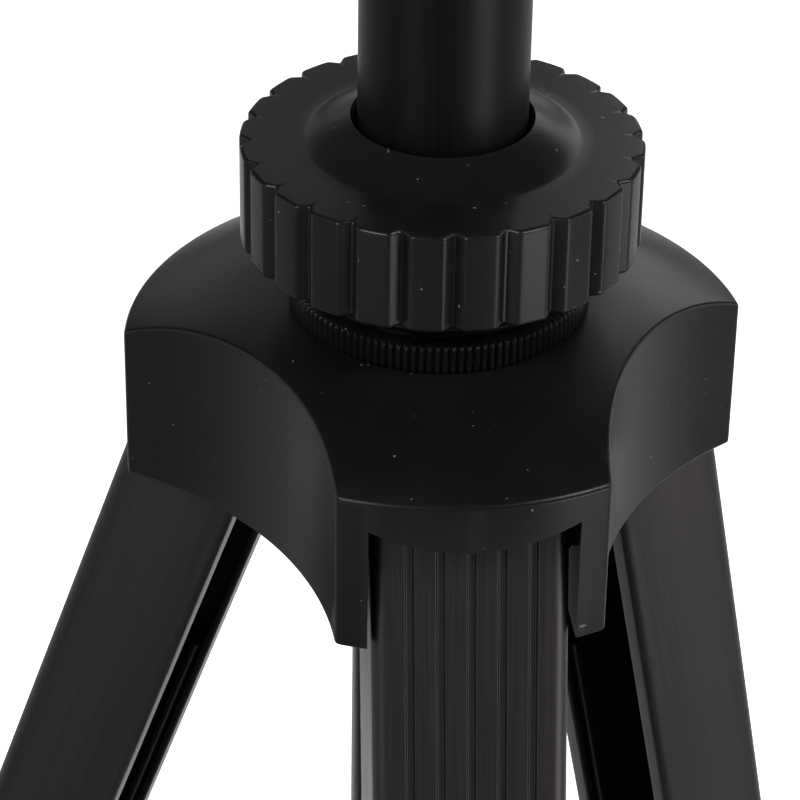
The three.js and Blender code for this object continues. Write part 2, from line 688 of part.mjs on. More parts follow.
function makeHousing() {
  const mouth = Math.sqrt(socketRadius ** 2 - (mouthHeight - ballCentre) ** 2);
  const outside = turned([
    [0, housingBottom],
    [housingRadius - 0.8, housingBottom],
    [housingRadius, housingBottom + 0.8],
    [housingRadius, housingTop - 4],
    [housingRadius - 2.5, housingTop],
    [0, housingTop],
  ]);
  const ballSpace = ballSphere(socketRadius);
  const flare = turned([
    [0, mouthHeight - 1],
    [mouth, mouthHeight - 1],
    [mouth, mouthHeight],
    [mouth + 2.4, housingTop + 0.5],
    [0, housingTop + 0.5],
  ], 24);
  const spigotTop = baseTop + HEAD_SPIGOT_HEIGHT + GAP;
  const spigot = ring(0, HEAD_SPIGOT_RADIUS + GAP, housingBottom - 1, spigotTop, SMALL_ROUND);
  let housing = solid(outside).subtract(solid(ballSpace)).subtract(solid(flare)).subtract(solid(spigot));
  for (const knob of [ballKnob, panKnob]) {
    const place = (geometry) => solid(geometry.rotateZ(knob.turn).translate(0, 0, knob.height));
    const face = housingRadius + KNOB_BOSS;
    housing = housing.add(place(bar("x", KNOB_STEM_RADIUS + 2.5, housingRadius - 4, face)));
    const hole = bar("x", KNOB_STEM_RADIUS + GAP, housingRadius - KNOB_DEPTH - GAP, face + 1);
    housing = housing.subtract(place(hole));
  }
  return piece("head_housing", housing, collarBlack);
}

// The two lock knobs on the housing: the ball's, and the smaller one that stops the pan.
const ballKnob = {
  name: "ball_lock_knob",
  radius: BALL_KNOB_RADIUS,
  lobes: 8,
  height: ballCentre,
  turn: 0,
};
const panKnob = {
  name: "pan_lock_knob",
  radius: PAN_KNOB_RADIUS,
  lobes: 6,
  height: baseTop + PAN_KNOB_RADIUS + 2 * GAP,
  turn: Math.PI,
};

function makeKnob({ name, radius, lobes, height, turn }) {
  const start = housingRadius + KNOB_BOSS + GAP;
  const grip = raised(toothedRim(lobes, radius, radius - 1.5, 0.6), start, start + KNOB_LENGTH);
  grip.rotateY(Math.PI / 2);
  const stem = bar("x", KNOB_STEM_RADIUS, housingRadius - KNOB_DEPTH, start + 1);
  const made = solid(grip.rotateZ(turn).translate(0, 0, height));
  return piece(name, made.add(solid(stem.rotateZ(turn).translate(0, 0, height))), rubber);
}

function makeBallStem() {
  const ball = ballSphere(BALL_RADIUS);
  const stem = ring(0, STEM_RADIUS, ballCentre, platformBottom + STEM_SOCKET - GAP, SMALL_ROUND);
  return piece("ball_stem", solid(ball).add(solid(stem)), steel);
}

function makePlatform() {
  const plate = turned([
    [0, platformBottom],
    [PLATFORM_RADIUS - 4, platformBottom],
    [PLATFORM_RADIUS, platformBottom + 2.5],
    [PLATFORM_RADIUS, platformTop],
    [0, platformTop],
  ]);
  const socketTop = platformBottom + STEM_SOCKET;
  const stemHole = ring(0, STEM_RADIUS + GAP, platformBottom - 1, socketTop, SMALL_ROUND);
  const screwHole = ring(0, SCREW_RADIUS + GAP, socketTop + 1, platformTop + 1, SMALL_ROUND);
  const platform = solid(plate).subtract(solid(stemHole)).subtract(solid(screwHole));
  const pad = ring(SCREW_RADIUS + 2 * GAP, PLATFORM_RADIUS - 1, platformTop + GAP, padTop);
  const screw = ring(0, SCREW_RADIUS, socketTop + 1 + GAP, padTop + SCREW_STAND, SMALL_ROUND);
  return [
    piece("head_platform", platform, collarBlack),
    piece("platform_pad", solid(pad), rubber),
    piece("camera_screw", solid(screw), steel),
  ];
}

// ---- Webcam ------------------------------------------------------------------------------------------

const flapBottom = padTop + GAP;
const flapTop = flapBottom + FLAP_HEIGHT;
const leafBottom = flapTop + GAP;
const leafTop = leafBottom + LEAF_HEIGHT;
const clipHingeY = CLIP_DEPTH / 2 + CLIP_KNUCKLE + GAP;
const clipHingeZ = (flapTop + leafBottom) / 2;
const tiltZ = leafTop + TILT_HEIGHT;
const camMiddle = tiltZ + CAM_ABOVE_TILT;
const camFront = -CAM_DEPTH / 2;
const boardFront = camFront + BOARD_SET_BACK;
const boardBack = boardFront + BOARD_THICKNESS;
const boardHalf = [CAM_WIDTH / 2 - 11, CAM_HEIGHT / 2 - 4.5];

// A clip plate with knuckles at its rear edge, each given by its ends across.
function clipPlate(z0, z1, knuckles) {
  let plate = solid(raised(roundRect(CLIP_WIDTH, CLIP_DEPTH, CLIP_CORNER), z0, z1));
  for (const [x0, x1] of knuckles) {
    const web = box([x0, CLIP_DEPTH / 2 - 6, z0 + 1], [x1, clipHingeY, z1 - 1]);
    const knuckle = bar("x", CLIP_KNUCKLE, x0, x1).translate(0, clipHingeY, clipHingeZ);
    plate = plate.add(solid(web)).add(solid(knuckle));
  }
  const hole = bar("x", CLIP_PIN_RADIUS + GAP, -CLIP_WIDTH, CLIP_WIDTH);
  return plate.subtract(solid(hole.translate(0, clipHingeY, clipHingeZ)));
}

function makeClip() {
  const third = CLIP_WIDTH / 6;
  const reach = 2.4 * third;
  const outerKnuckles = [[-reach, -third - GAP], [third + GAP, reach]];
  const swept = bar("x", CLIP_KNUCKLE + GAP, -third - GAP, third + GAP);
  swept.translate(0, clipHingeY, clipHingeZ);
  const socket = ring(0, SCREW_RADIUS + GAP, flapBottom - 1, padTop + SCREW_STAND + GAP, SMALL_ROUND);
  let flap = clipPlate(flapBottom, flapTop, outerKnuckles).subtract(solid(socket));
  flap = flap.subtract(solid(swept));
  let leaf = clipPlate(leafBottom, leafTop, [[-third, third]]);
  for (const [x0, x1] of outerKnuckles) {
    const clear = bar("x", CLIP_KNUCKLE + GAP, x0 - GAP, x1 + GAP);
    leaf = leaf.subtract(solid(clear.translate(0, clipHingeY, clipHingeZ)));
  }
  for (const side of [-1, 1]) {
    const inside = TONGUE_WIDTH / 2 + GAP;
    const [x0, x1] = [side * inside, side * (inside + TILT_EAR)].sort((a, b) => a - b);
    leaf = leaf.add(solid(box([x0, -TILT_BARREL, leafTop - 1], [x1, TILT_BARREL, tiltZ])));
    leaf = leaf.add(solid(bar("x", TILT_BARREL, x0, x1).translate(0, 0, tiltZ)));
  }
  const tiltHole = bar("x", TILT_PIN_RADIUS + GAP, -CLIP_WIDTH, CLIP_WIDTH).translate(0, 0, tiltZ);
  const pin = bar("x", CLIP_PIN_RADIUS, -reach, reach).translate(0, clipHingeY, clipHingeZ);
  const tiltReach = TONGUE_WIDTH / 2 + GAP + TILT_EAR;
  const tiltPin = bar("x", TILT_PIN_RADIUS, -tiltReach, tiltReach).translate(0, 0, tiltZ);
  return [
    piece("clip_flap", flap, clampBlack),
    piece("clip_leaf", leaf.subtract(solid(tiltHole)), clampBlack),
    piece("clip_pin", solid(pin), steel),
    piece("tilt_pin", solid(tiltPin), steel),
  ];
}

const camOutline = (inset) =>
  roundRect(CAM_WIDTH - 2 * inset, CAM_HEIGHT - 2 * inset, CAM_CORNER - inset, 0, camMiddle);
const lensHole = (radius, y0, y1) => bar("y", radius, y0, y1, LENS_ROUND).translate(0, 0, camMiddle);

// The webcam's outside between two depths, as one of its two shells before hollowing.
function halfShell(y0, y1) {
  const whole = solid(deepened(camOutline(0), camFront, -camFront, CAM_ROUND));
  const kept = box([-CAM_WIDTH, y0, tiltZ], [CAM_WIDTH, y1, camMiddle + CAM_HEIGHT]);
  return whole.intersect(solid(kept));
}

function makeFrontShell() {
  const recess = camFront + GLASS_THICKNESS + GAP;
  const hollow = deepened(camOutline(CAM_WALL), recess + CAM_WALL, 1);
  let shell = halfShell(camFront - 1, -GAP / 2).subtract(solid(hollow));
  shell = shell.subtract(solid(deepened(camOutline(GLASS_MARGIN), camFront - 1, recess)));
  shell = shell.subtract(solid(lensHole(LENS_RADIUS + GAP, camFront - 1, 1)));
  return piece("cam_front_shell", shell, clampBlack);
}

function makeRearShell() {
  const hollow = deepened(camOutline(CAM_WALL), -1, -camFront - CAM_WALL);
  const [wide, low] = [TONGUE_WIDTH / 2, camMiddle - CAM_HEIGHT / 2 + 1];
  let shell = halfShell(GAP / 2, CAM_DEPTH);
  shell = shell.add(solid(box([-wide, GAP / 2, tiltZ], [wide, TILT_BARREL, low])));
  shell = shell.subtract(solid(hollow));
  shell = shell.add(solid(bar("x", TILT_BARREL, -wide, wide).translate(0, 0, tiltZ)));
  const pinHole = bar("x", TILT_PIN_RADIUS + GAP, -CAM_WIDTH, CAM_WIDTH);
  shell = shell.subtract(solid(pinHole.translate(0, 0, tiltZ)));
  for (const side of [-1, 1]) {
    const post = bar("y", BOARD_POST_RADIUS, boardBack + GAP, CAM_DEPTH / 2 - CAM_WALL + 1);
    shell = shell.add(solid(post.translate(side * (boardHalf[0] - 4), 0, camMiddle)));
  }
  const inlet = bar("y", INLET_RADIUS, 0, CAM_DEPTH).translate(CAM_WIDTH / 5, 0, camMiddle);
  return piece("cam_rear_shell", shell.subtract(solid(inlet)), clampBlack);
}

function makeOptics() {
  const inset = GLASS_MARGIN + GAP;
  const glassFront = camFront;
  const pane = deepened(camOutline(inset), glassFront, glassFront + GLASS_THICKNESS);
  const glass = solid(pane).subtract(solid(lensHole(LENS_RADIUS + GAP, camFront - 1, 1)));
  const front = glassFront - LENS_STAND;
  const barrel = turned([
    [0, -boardFront + GAP],
    [LENS_RADIUS - 0.6, -boardFront + GAP],
    [LENS_RADIUS, -boardFront + 1],
    [LENS_RADIUS, -front - 0.6],
    [LENS_RADIUS - 0.6, -front],
    [LENS_RADIUS - 1.4, -front],
    [LENS_GLASS_RADIUS + GAP, -front - 2],
    [LENS_GLASS_RADIUS + GAP, -front - LENS_WELL],
    [0, -front - LENS_WELL],
  ], LENS_ROUND);
  const lens = turned([
    [0, -front - LENS_WELL + GAP],
    [LENS_GLASS_RADIUS, -front - LENS_WELL + GAP],
    [LENS_GLASS_RADIUS, -front - 2.4],
    [LENS_GLASS_RADIUS * 0.7, -front - 1.6],
    [LENS_GLASS_RADIUS * 0.35, -front - 1.25],
    [0, -front - 1.1],
  ], 24);
  const toFront = (geometry) => solid(geometry.rotateX(Math.PI / 2).translate(0, 0, camMiddle));
  const [wide, high] = boardHalf;
  const board = box([-wide, boardFront, camMiddle - high], [wide, boardBack, camMiddle + high]);
  return [
    piece("cam_front_glass", glass, glassBlack),
    piece("lens_barrel", toFront(barrel), collarBlack),
    piece("lens_glass", toFront(lens), lensGlass),
    piece("circuit_board", solid(board), boardGreen),
  ];
}

// ---- Assembly ----------------------------------------------------------------------------------------

const tripod = new THREE.Group();
tripod.add(makeCrown(), makeLockRing(), makeCollar(), makeCollet(), ...makeColumn());
for (const leg of LEGS) tripod.add(makePivotPin(leg), makeLeg(leg));
tripod.add(makeHeadBase(), makeHousing(), makeKnob(ballKnob), makeKnob(panKnob));
tripod.add(makeBallStem(), ...makePlatform(), ...makeClip());
tripod.add(makeFrontShell(), makeRearShell(), ...makeOptics());

// The origin is on the floor, under the middle of the footprint.
const footprint = new THREE.Box3().setFromObject(tripod, true).getCenter(new THREE.Vector3());
tripod.position.set(-footprint.x, -footprint.y, 0);

export default tripod;
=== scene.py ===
"""A webcam on an adjustable tripod: fine surfaces, finishes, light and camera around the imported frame."""

import json
import math

import bmesh
import bpy
from mathutils import Matrix, Vector

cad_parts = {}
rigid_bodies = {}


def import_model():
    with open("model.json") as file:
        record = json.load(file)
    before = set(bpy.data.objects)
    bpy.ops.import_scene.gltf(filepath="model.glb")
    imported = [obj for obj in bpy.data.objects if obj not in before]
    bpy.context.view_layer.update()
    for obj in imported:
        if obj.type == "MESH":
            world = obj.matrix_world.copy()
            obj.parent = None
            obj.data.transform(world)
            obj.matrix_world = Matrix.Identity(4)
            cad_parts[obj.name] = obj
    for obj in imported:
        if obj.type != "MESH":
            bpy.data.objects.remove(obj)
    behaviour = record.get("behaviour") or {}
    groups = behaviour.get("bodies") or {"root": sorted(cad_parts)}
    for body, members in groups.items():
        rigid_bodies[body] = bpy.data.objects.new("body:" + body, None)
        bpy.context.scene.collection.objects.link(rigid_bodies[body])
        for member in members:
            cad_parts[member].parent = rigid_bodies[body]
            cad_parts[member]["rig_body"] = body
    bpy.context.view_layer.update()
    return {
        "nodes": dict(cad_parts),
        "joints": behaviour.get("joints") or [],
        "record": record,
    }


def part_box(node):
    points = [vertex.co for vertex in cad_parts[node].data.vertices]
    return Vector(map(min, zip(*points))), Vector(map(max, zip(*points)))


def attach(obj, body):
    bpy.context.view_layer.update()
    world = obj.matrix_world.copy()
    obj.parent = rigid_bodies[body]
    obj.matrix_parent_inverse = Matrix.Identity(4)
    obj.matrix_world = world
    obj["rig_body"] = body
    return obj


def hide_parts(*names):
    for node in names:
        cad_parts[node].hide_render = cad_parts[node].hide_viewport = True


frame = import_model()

# ---- Sizes, in millimetres --------------------------------------------------------------------------

MM = 0.001
GAP = 0.3  # clearance between neighbouring pieces

CROWN_RADIUS = 47.4
SCALLOP_RADIUS = 31.65  # a concave wall's middle
CROWN_RISE = 6.4  # from the lobes' edge up to the lock ring
CROWN_EDGE = 0.55  # edge rounding
CHEEK_WALL = 4.5
LINTEL = 4.8
LINTEL_ARCH = 2.7  # how far the lintel's lip hangs lower in its middle
LINTEL_WALL = 3.2
GUIDE_RADIUS = 18.6
CORE_HOLE_RADIUS = 4
NECK_RADIUS = 19.2
NECK_BORE = 15.0
THREAD_PITCH = 1.5
THREAD_DEPTH = 0.25
RING_RADIUS = 22.5
RING_BORE = 19.5
RING_TEETH = 120
COLLAR_RADIUS = 29.7
COLLAR_BORE = 13.0
COLLAR_TEETH = 24
COLLAR_TOOTH_DEPTH = 1.45
COLLAR_TOOTH_LAND = 0.6  # a tooth's flat, as a share of the pitch
COLLAR_TURN = 0.227  # a valley's place, as a share of the pitch
COLLAR_SKIRT = 0.6  # how far it reaches below its CAD node
COLLAR_BOSS_RADIUS = 20.5
COLLAR_CHAMFER = 0.6
COLUMN_RADIUS = 12.5
COLUMN_WALL = 1.2

LEG_SIDE_GAP = 0.8
PIVOT_PIN_RADIUS = 3
PIVOT_PIN_SEAT = 2.9  # how deep the pin's ends sit in the cheeks
PIN_HOLE_REACH = 25  # past the ends of any pin that has a through hole
FLUTES = 5
FLUTE_WIDTH = 1.4
FLUTE_DEPTH = 0.5
FLUTE_PITCH = 4.5
CLAMP_WALL = 2.6
CLAMP_HOLD = 22
CLAMP_NOSE = 18
LEVER_THICKNESS = 4.2
LEVER_BARREL = 4.2
LEVER_EAR = 4
LEVER_TRUNNION = 2
LEVER_INSET = 6
FOOT_LENGTH = 34
FOOT_RUBBER = 3.7
FOOT_SOLE = 7
FOOT_RIBS = 5
FOOT_RIB_PITCH = 3.4

BALL_RADIUS = 11
SOCKET_RADIUS = 11.5
HOUSING_RADIUS = 16.5
HEAD_BASE_RADIUS = 18
SPIGOT_RADIUS = 6
SPIGOT_HEIGHT = 4
STEM_RADIUS = 4
PLATFORM_RADIUS = 19
SCREW_RADIUS = 3.1
KNOB_BOSS = 1.5
KNOB_LENGTH = 11
KNOB_STEM_RADIUS = 3
KNOB_DEPTH = 3

CLIP_WIDTH = 44
CLIP_DEPTH = 34
CLIP_CORNER = 5
CLIP_KNUCKLE = 3.2
CLIP_PIN_RADIUS = 1.5
TILT_BARREL = 4.6
TILT_PIN_RADIUS = 2
TONGUE_HALF = 6.5
TILT_EAR = 3.2
CAM_WIDTH = 92
CAM_HEIGHT = 30
CAM_HALF_DEPTH = 12.5
CAM_VENTS = 9
CAM_VENT_PITCH = 2.6
CAM_WALL = 1.8
CAM_CORNER = 12.5
CAM_ROUND = 2.5
GLASS_MARGIN = 4
GLASS_THICKNESS = 1.2
LENS_RADIUS = 8.6
LENS_GLASS_RADIUS = 4.6
INLET_RADIUS = 2.6

# A leg's sections, from the outside in: fluted face from the pivot, width, depth, wall and lip
OUTER = {"face": 8.2, "width": 28.8, "depth": 20.5, "wall": 1.5, "lip": 4.1}
MIDDLE = {"face": 6.4, "width": 25.2, "depth": 16.9, "wall": 1.4, "lip": 3.6}
LOWER = {"face": 4.7, "width": 21.8, "depth": 13.5, "wall": 1.3, "lip": 0}
LEG_CORNER = 3

# ---- Places from the frame --------------------------------------------------------------------------

JOINTS = {joint["name"]: joint for joint in frame["joints"]}
MOUNTS = {mount["name"]: mount for mount in frame["record"]["mounts"]}
LEGS = ("front", "right", "left")


def place_of(joint):
    """A joint's point, in millimetres."""
    return Vector(JOINTS[joint]["pos_m"]) / MM


def heights(node):
    """The lowest and highest points of a node, in millimetres."""
    low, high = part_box(node)
    return low.z / MM, high.z / MM


HUB = place_of("collar_turn")
ON_AXIS = Matrix.Translation((HUB.x, HUB.y, 0))
FACING = Matrix.Rotation(math.radians(90), 4, "X")  # an outline's Y becomes height, its height -Y
OUTWARD = Matrix.Rotation(math.radians(90), 4, "Z") @ FACING  # X becomes Y, Y height, height X
SIDEWAYS = Matrix.Rotation(math.radians(90), 4, "Y")  # an axis along Z becomes one along X


def at(x=0.0, y=0.0, z=0.0):
    """A move to a point."""
    return Matrix.Translation((x, y, z))


def leg_frame(name):
    """A leg's frame: origin at its pivot, X out through the fluted face, Y across, Z up along it."""
    side = -Vector(JOINTS[f"splay_{name}"]["axis"])
    up = -Vector(JOINTS[f"middle_{name}_slide"]["axis"])
    out = side.cross(up)
    turn = Matrix((out, side, up)).transposed()
    return Matrix.Translation(place_of(f"splay_{name}")) @ turn.to_4x4()


# ---- Node trees -------------------------------------------------------------------------------------


class Signal:
    """One output of a node, with arithmetic that adds Math nodes."""

    def __init__(self, graph, socket):
        self.graph = graph
        self.socket = socket

    def math(self, operation, *others):
        values = dict(enumerate((self, *others)))
        return self.graph.node("ShaderNodeMath", {"operation": operation}, values)

    def __add__(self, other):
        return self.math("ADD", other)

    __radd__ = __add__

    def __mul__(self, other):
        return self.math("MULTIPLY", other)

    __rmul__ = __mul__

    def __sub__(self, other):
        return self.math("SUBTRACT", other)

    def __rsub__(self, other):
        return self.graph.node("ShaderNodeMath", {"operation": "SUBTRACT"}, {0: other, 1: self})

    def __truediv__(self, other):
        return self.math("DIVIDE", other)

    def __abs__(self):
        return self.math("ABSOLUTE")

    def power(self, exponent):
        return self.math("POWER", exponent)

    def clamped(self):
        return self.math("MAXIMUM", 0).math("MINIMUM", 1)


class Graph:
    """A node tree that grows by calls: any node comes from one method."""

    def __init__(self, tree):
        self.tree = tree
        tree.nodes.clear()

    def node(self, kind, settings=None, sockets=None, output=0):
        node = self.tree.nodes.new(kind)
        for setting, value in (settings or {}).items():
            setattr(node, setting, value)
        for socket, value in (sockets or {}).items():
            if isinstance(value, Signal):
                self.tree.links.new(value.socket, node.inputs[socket])
            else:
                node.inputs[socket].default_value = value
        return Signal(self, node.outputs[output]) if node.outputs else None

    def axes(self, vector):
        """A vector's three parts."""
        parts = self.node("ShaderNodeSeparateXYZ", {}, {0: vector})
        return [Signal(self, part) for part in parts.socket.node.outputs]


# ---- Finishes ---------------------------------------------------------------------------------------


class Finish(Graph):
    """A material for one finish, with the patterns that the finishes share."""

    def __init__(self, name, turn=None):
        self.material = bpy.data.materials.new(name)
        self.material.use_nodes = True
        super().__init__(self.material.node_tree)
        self.place = self.node("ShaderNodeTexCoord", output="Object")
        if turn:
            still = turn.inverted()
            sockets = {
                "Vector": self.place,
                "Location": still.to_translation() * MM,
                "Rotation": still.to_euler(),
            }
            self.place = self.node("ShaderNodeMapping", {"vector_type": "POINT"}, sockets)

    def noise(self, scale, detail=3.0, stretch=(1, 1, 1), roughness=0.55):
        sockets = {"Vector": self.place, "Scale": stretch}
        stretched = self.node("ShaderNodeMapping", {"vector_type": "POINT"}, sockets)
        sockets = {"Vector": stretched, "Scale": scale, "Detail": detail, "Roughness": roughness}
        return self.node("ShaderNodeTexNoise", {}, sockets)

    def band(self, signal, low, high):
        """0 below low, 1 above high, and even between."""
        sockets = {"Value": signal, "From Min": low, "From Max": high}
        return self.node("ShaderNodeMapRange", {"interpolation_type": "SMOOTHSTEP"}, sockets)

    def blend(self, share, first, second):
        """A colour between two, by a share."""
        sockets = {"Factor": share, 6: first, 7: second}
        return self.node("ShaderNodeMix", {"data_type": "RGBA"}, sockets, output=2)

    def edges(self, low=0.52, high=0.6):
        """1 along outer edges: the mask for painted edge highlights."""
        return self.band(self.node("ShaderNodeNewGeometry", output="Pointiness"), low, high)

    def relief(self, height, depth, over=None):
        """The surface normal raised by a height pattern, with depth in millimetres."""
        sockets = {"Height": height, "Strength": 1.0, "Distance": depth * MM}
        if over:
            sockets["Normal"] = over
        return self.node("ShaderNodeBump", {}, sockets)

    def shade(self, **sockets):
        """Ends the material in its shader."""
        named = {name.replace("_", " "): value for name, value in sockets.items()}
        shader = self.node("ShaderNodeBsdfPrincipled", {}, named)
        self.node("ShaderNodeOutputMaterial", {}, {"Surface": shader})
        return self.material


def grey(value, warmth=0.0):
    """A near-neutral colour, warm above 0."""
    return (value * (1 + warmth), value, value * (1 - warmth), 1)


def moulded(name, tone, roughness, grain, depth, dust=0.0, gloss=0.5):
    """Moulded plastic: a fine spark-eroded grain, cloudy sheen, painted highlights along its edges and a
    little dust.
    """
    finish = Finish(name)
    grains = finish.noise(grain, 2)
    cloud = finish.noise(45, 4)
    colour = finish.blend(finish.band(cloud, 0.35, 0.7), grey(tone * 0.85), grey(tone * 1.2, 0.03))
    # painted highlight: outer edges lightened towards a pale grey, standing in for light caught by rounded
    # edges
    colour = finish.blend(finish.edges() * 0.35, colour, grey(tone * 2.6, 0.04))
    specks = finish.band(finish.noise(900, 1), 0.77, 0.8) * dust
    colour = finish.blend(specks, colour, grey(0.3))
    rough = roughness + (cloud - 0.5) * 0.16 + (grains - 0.5) * 0.1
    normal = finish.relief(grains, depth)
    return finish.shade(
        Base_Color=colour, Roughness=rough, Normal=normal, Specular_IOR_Level=gloss
    )


def anodised(name, tone, roughness, turn, along, depth=0.004, metal=0.75, gloss=0.12):
    """Anodised aluminium with fine drawing lines along one axis, faint rubs and painted highlights along
    its edges.
    """
    finish = Finish(name, turn)
    stretch = tuple(0.02 if axis == along else 1.0 for axis in "xyz")
    lines = finish.noise(2600, 2, stretch)
    rubs = finish.noise(120, 5, tuple(0.12 if axis == along else 1.0 for axis in "xyz"))
    cloud = finish.noise(18, 3)
    colour = finish.blend(finish.band(lines, 0.3, 0.7), grey(tone * 0.88, 0.01), grey(tone * 1.15, 0.03))
    colour = finish.blend(finish.band(rubs, 0.62, 0.8) * 0.25, colour, grey(tone * 2.2, 0.02))
    # painted highlight: outer edges and flute rims lightened, standing in for light caught by the edges
    colour = finish.blend(finish.edges() * 0.4, colour, grey(tone * 3.5, 0.05))
    rough = roughness + (lines - 0.5) * 0.16 + (cloud - 0.5) * 0.14
    normal = finish.relief(lines, depth)
    return finish.shade(
        Base_Color=colour, Roughness=rough, Metallic=metal, Normal=normal, Specular_IOR_Level=gloss
    )


def rubber(name, tone, grain=1400):
    """Matt rubber with a soft grain and pale scuffs."""
    finish = Finish(name)
    grains = finish.noise(grain, 3)
    scuffs = finish.band(finish.noise(160, 5), 0.6, 0.78)
    colour = finish.blend(scuffs * 0.3, grey(tone), grey(tone * 2.8, 0.06))
    rough = 0.78 + (grains - 0.5) * 0.2
    normal = finish.relief(grains, 0.05)
    return finish.shade(Base_Color=colour, Roughness=rough, Normal=normal, Specular_IOR_Level=0.35)


def turned_steel(name, tone=0.5):
    """Steel with turning lines round its axis."""
    finish = Finish(name)
    lines = finish.noise(3000, 2, (0.05, 0.05, 1))
    stain = finish.noise(200, 4)
    colour = finish.blend(finish.band(stain, 0.4, 0.75), grey(tone, -0.01), grey(tone * 0.76, 0.03))
    rough = 0.27 + (lines - 0.5) * 0.22
    return finish.shade(
        Base_Color=colour, Roughness=rough, Metallic=1.0, Normal=finish.relief(lines, 0.006)
    )


def window_glass(name):
    """The webcam's gloss black window, with faint wipe marks."""
    finish = Finish(name)
    wipes = finish.noise(90, 5, (0.3, 1, 1))
    rough = 0.05 + finish.band(wipes, 0.5, 0.8) * 0.09
    colour = finish.blend(finish.band(wipes, 0.5, 0.9), grey(0.0035), grey(0.006))
    return finish.shade(Base_Color=colour, Roughness=rough, IOR=1.52)


def coated_lens(name):
    """A dark lens whose coating shows violet and green."""
    finish = Finish(name)
    sheen = finish.node("ShaderNodeLayerWeight", {}, {"Blend": 0.35}, output="Facing")
    tint = finish.blend(sheen, (0.012, 0.006, 0.03, 1), (0.01, 0.06, 0.05, 1))
    film = finish.band(finish.noise(300, 2), 0.4, 0.7)
    colour = finish.blend(film * 0.3, tint, (0.05, 0.02, 0.09, 1))
    return finish.shade(Base_Color=colour, Roughness=0.03, IOR=1.7, Coat_Weight=1.0)


def circuit_green(name):
    """Solder mask over straight copper tracks."""
    finish = Finish(name)
    tracks = finish.band(finish.noise(260, 0, (1, 1, 6)), 0.5, 0.54)
    colour = finish.blend(tracks, (0.005, 0.05, 0.018, 1), (0.012, 0.11, 0.035, 1))
    normal = finish.relief(tracks, 0.04)
    return finish.shade(Base_Color=colour, Roughness=0.38, Normal=normal)


def lit_floor(name):
    """The studio's pale floor, lit from within behind the tripod and far from it."""
    finish = Finish(name)
    tone = finish.blend(finish.band(finish.noise(2, 2), 0.3, 0.7), grey(0.8), grey(0.84))
    across, away, _ = finish.axes(finish.place)
    behind = finish.band(away, 0.1, 0.34) * (1 - finish.band(abs(across - 0.1), 0.2, 0.37))
    far = finish.band((away * away + across * across).power(0.5), 0.7, 1.6)
    glow = finish.blend(behind.math("MAXIMUM", far * 0.75), grey(0.15), grey(0.92))
    return finish.shade(Base_Color=tone, Roughness=0.9, Emission_Color=glow, Emission_Strength=1.0)


FINISHES = {
    "crown_plastic": moulded("crown_moulding", 0.0045, 0.31, 2200, 0.007, 0.3, 0.12),
    "collar_plastic": moulded("collar_moulding", 0.0045, 0.29, 2600, 0.006, 0.35, 0.12),
    "clamp_plastic": moulded("clamp_moulding", 0.012, 0.52, 1800, 0.03, 0.2, 0.25),
    "nylon": moulded("glass_filled_nylon", 0.01, 0.6, 1200, 0.04, 0, 0.2),
    "knob_rubber": rubber("soft_knob", 0.012, 2200),
    "rubber": rubber("foot_rubber", 0.011),
    "column_metal": anodised("column_anodising", 0.0025, 0.34, None, "z", metal=0.03, gloss=0.07),
    "head_metal": anodised("head_anodising", 0.014, 0.36, None, "x"),
    "lens_metal": anodised("lens_ring_anodising", 0.012, 0.3, None, "x"),
    "steel": turned_steel("turned_steel"),
    "camera_plastic": moulded("webcam_moulding", 0.013, 0.5, 2400, 0.007, 0.2, 0.28),
    "front_glass": window_glass("webcam_window"),
    "lens_glass": coated_lens("coated_lens"),
    "board": circuit_green("circuit_board_mask"),
}
LEG_FINISHES = {
    name: anodised(f"leg_anodising_{name}", 0.019, 0.4, leg_frame(name), "z") for name in LEGS
}

# ---- Mesh helpers, in millimetres -------------------------------------------------------------------


def mesh_object(name, builder):
    """An object from a bmesh, which it frees."""
    mesh = bpy.data.meshes.new(name)
    builder.to_mesh(mesh)
    builder.free()
    made = bpy.data.objects.new(name, mesh)
    bpy.context.scene.collection.objects.link(made)
    return made


def skin(rings, loop=False, caps=True):
    """A closed solid through rings of equally many points, in order."""
    builder = bmesh.new()
    rows = [[builder.verts.new(point) for point in ring] for ring in rings]
    pairs = list(zip(rows, rows[1:]))
    if loop:
        pairs.append((rows[-1], rows[0]))
    for low, high in pairs:
        for i, corner in enumerate(low):
            builder.faces.new((low[i - 1], corner, high[i], high[i - 1]))
    if caps and not loop:
        builder.faces.new(rows[0])
        builder.faces.new(rows[-1])
    bmesh.ops.remove_doubles(builder, verts=builder.verts, dist=1e-4)
    bmesh.ops.recalc_face_normals(builder, faces=builder.faces)
    return mesh_object("solid", builder)


def rounded(corners, steps=4):
    """An outline from (x, y, radius) corners, each turned into an arc of its radius."""
    points = []
    for i, (x, y, radius) in enumerate(corners):
        here = Vector((x, y))
        before = Vector(corners[i - 1][:2]) - here
        after = Vector(corners[(i + 1) % len(corners)][:2]) - here
        half = before.angle(after) / 2
        reach = min(radius / math.tan(half), 0.49 * min(before.length, after.length))
        if reach < 1e-3:
            points.append(here)
            continue
        before.normalize()
        after.normalize()
        centre = here + (before + after).normalized() * (reach / math.cos(half))
        start = here + before * reach - centre
        sweep = start.angle_signed(here + after * reach - centre)
        for k in range(steps + 1):
            turned = Matrix.Rotation(-sweep * k / steps, 2) @ start
            points.append(centre + turned)
    return points


def profile(corners, steps=3):
    """A profile of (radius, height, rounding) corners whose two ends stay on the axis."""
    first, last = Vector(corners[0][:2]), Vector(corners[-1][:2])
    middle = rounded(corners, steps)
    return [first] + [point for point in middle if point.x > 1e-3] + [last]


def lathe(points, segments=64):
    """A solid turned about Z. The profile ends on the axis, or else it closes on itself."""
    open_ended = points[0][0] < 1e-6
    rings = [circle(radius, height, segments) for radius, height in points]
    return skin(rings, loop=not open_ended, caps=False)


def circle(radius, height, segments=64):
    steps = [2 * math.pi * i / segments for i in range(segments)]
    return [(radius * math.cos(a), radius * math.sin(a), height) for a in steps]


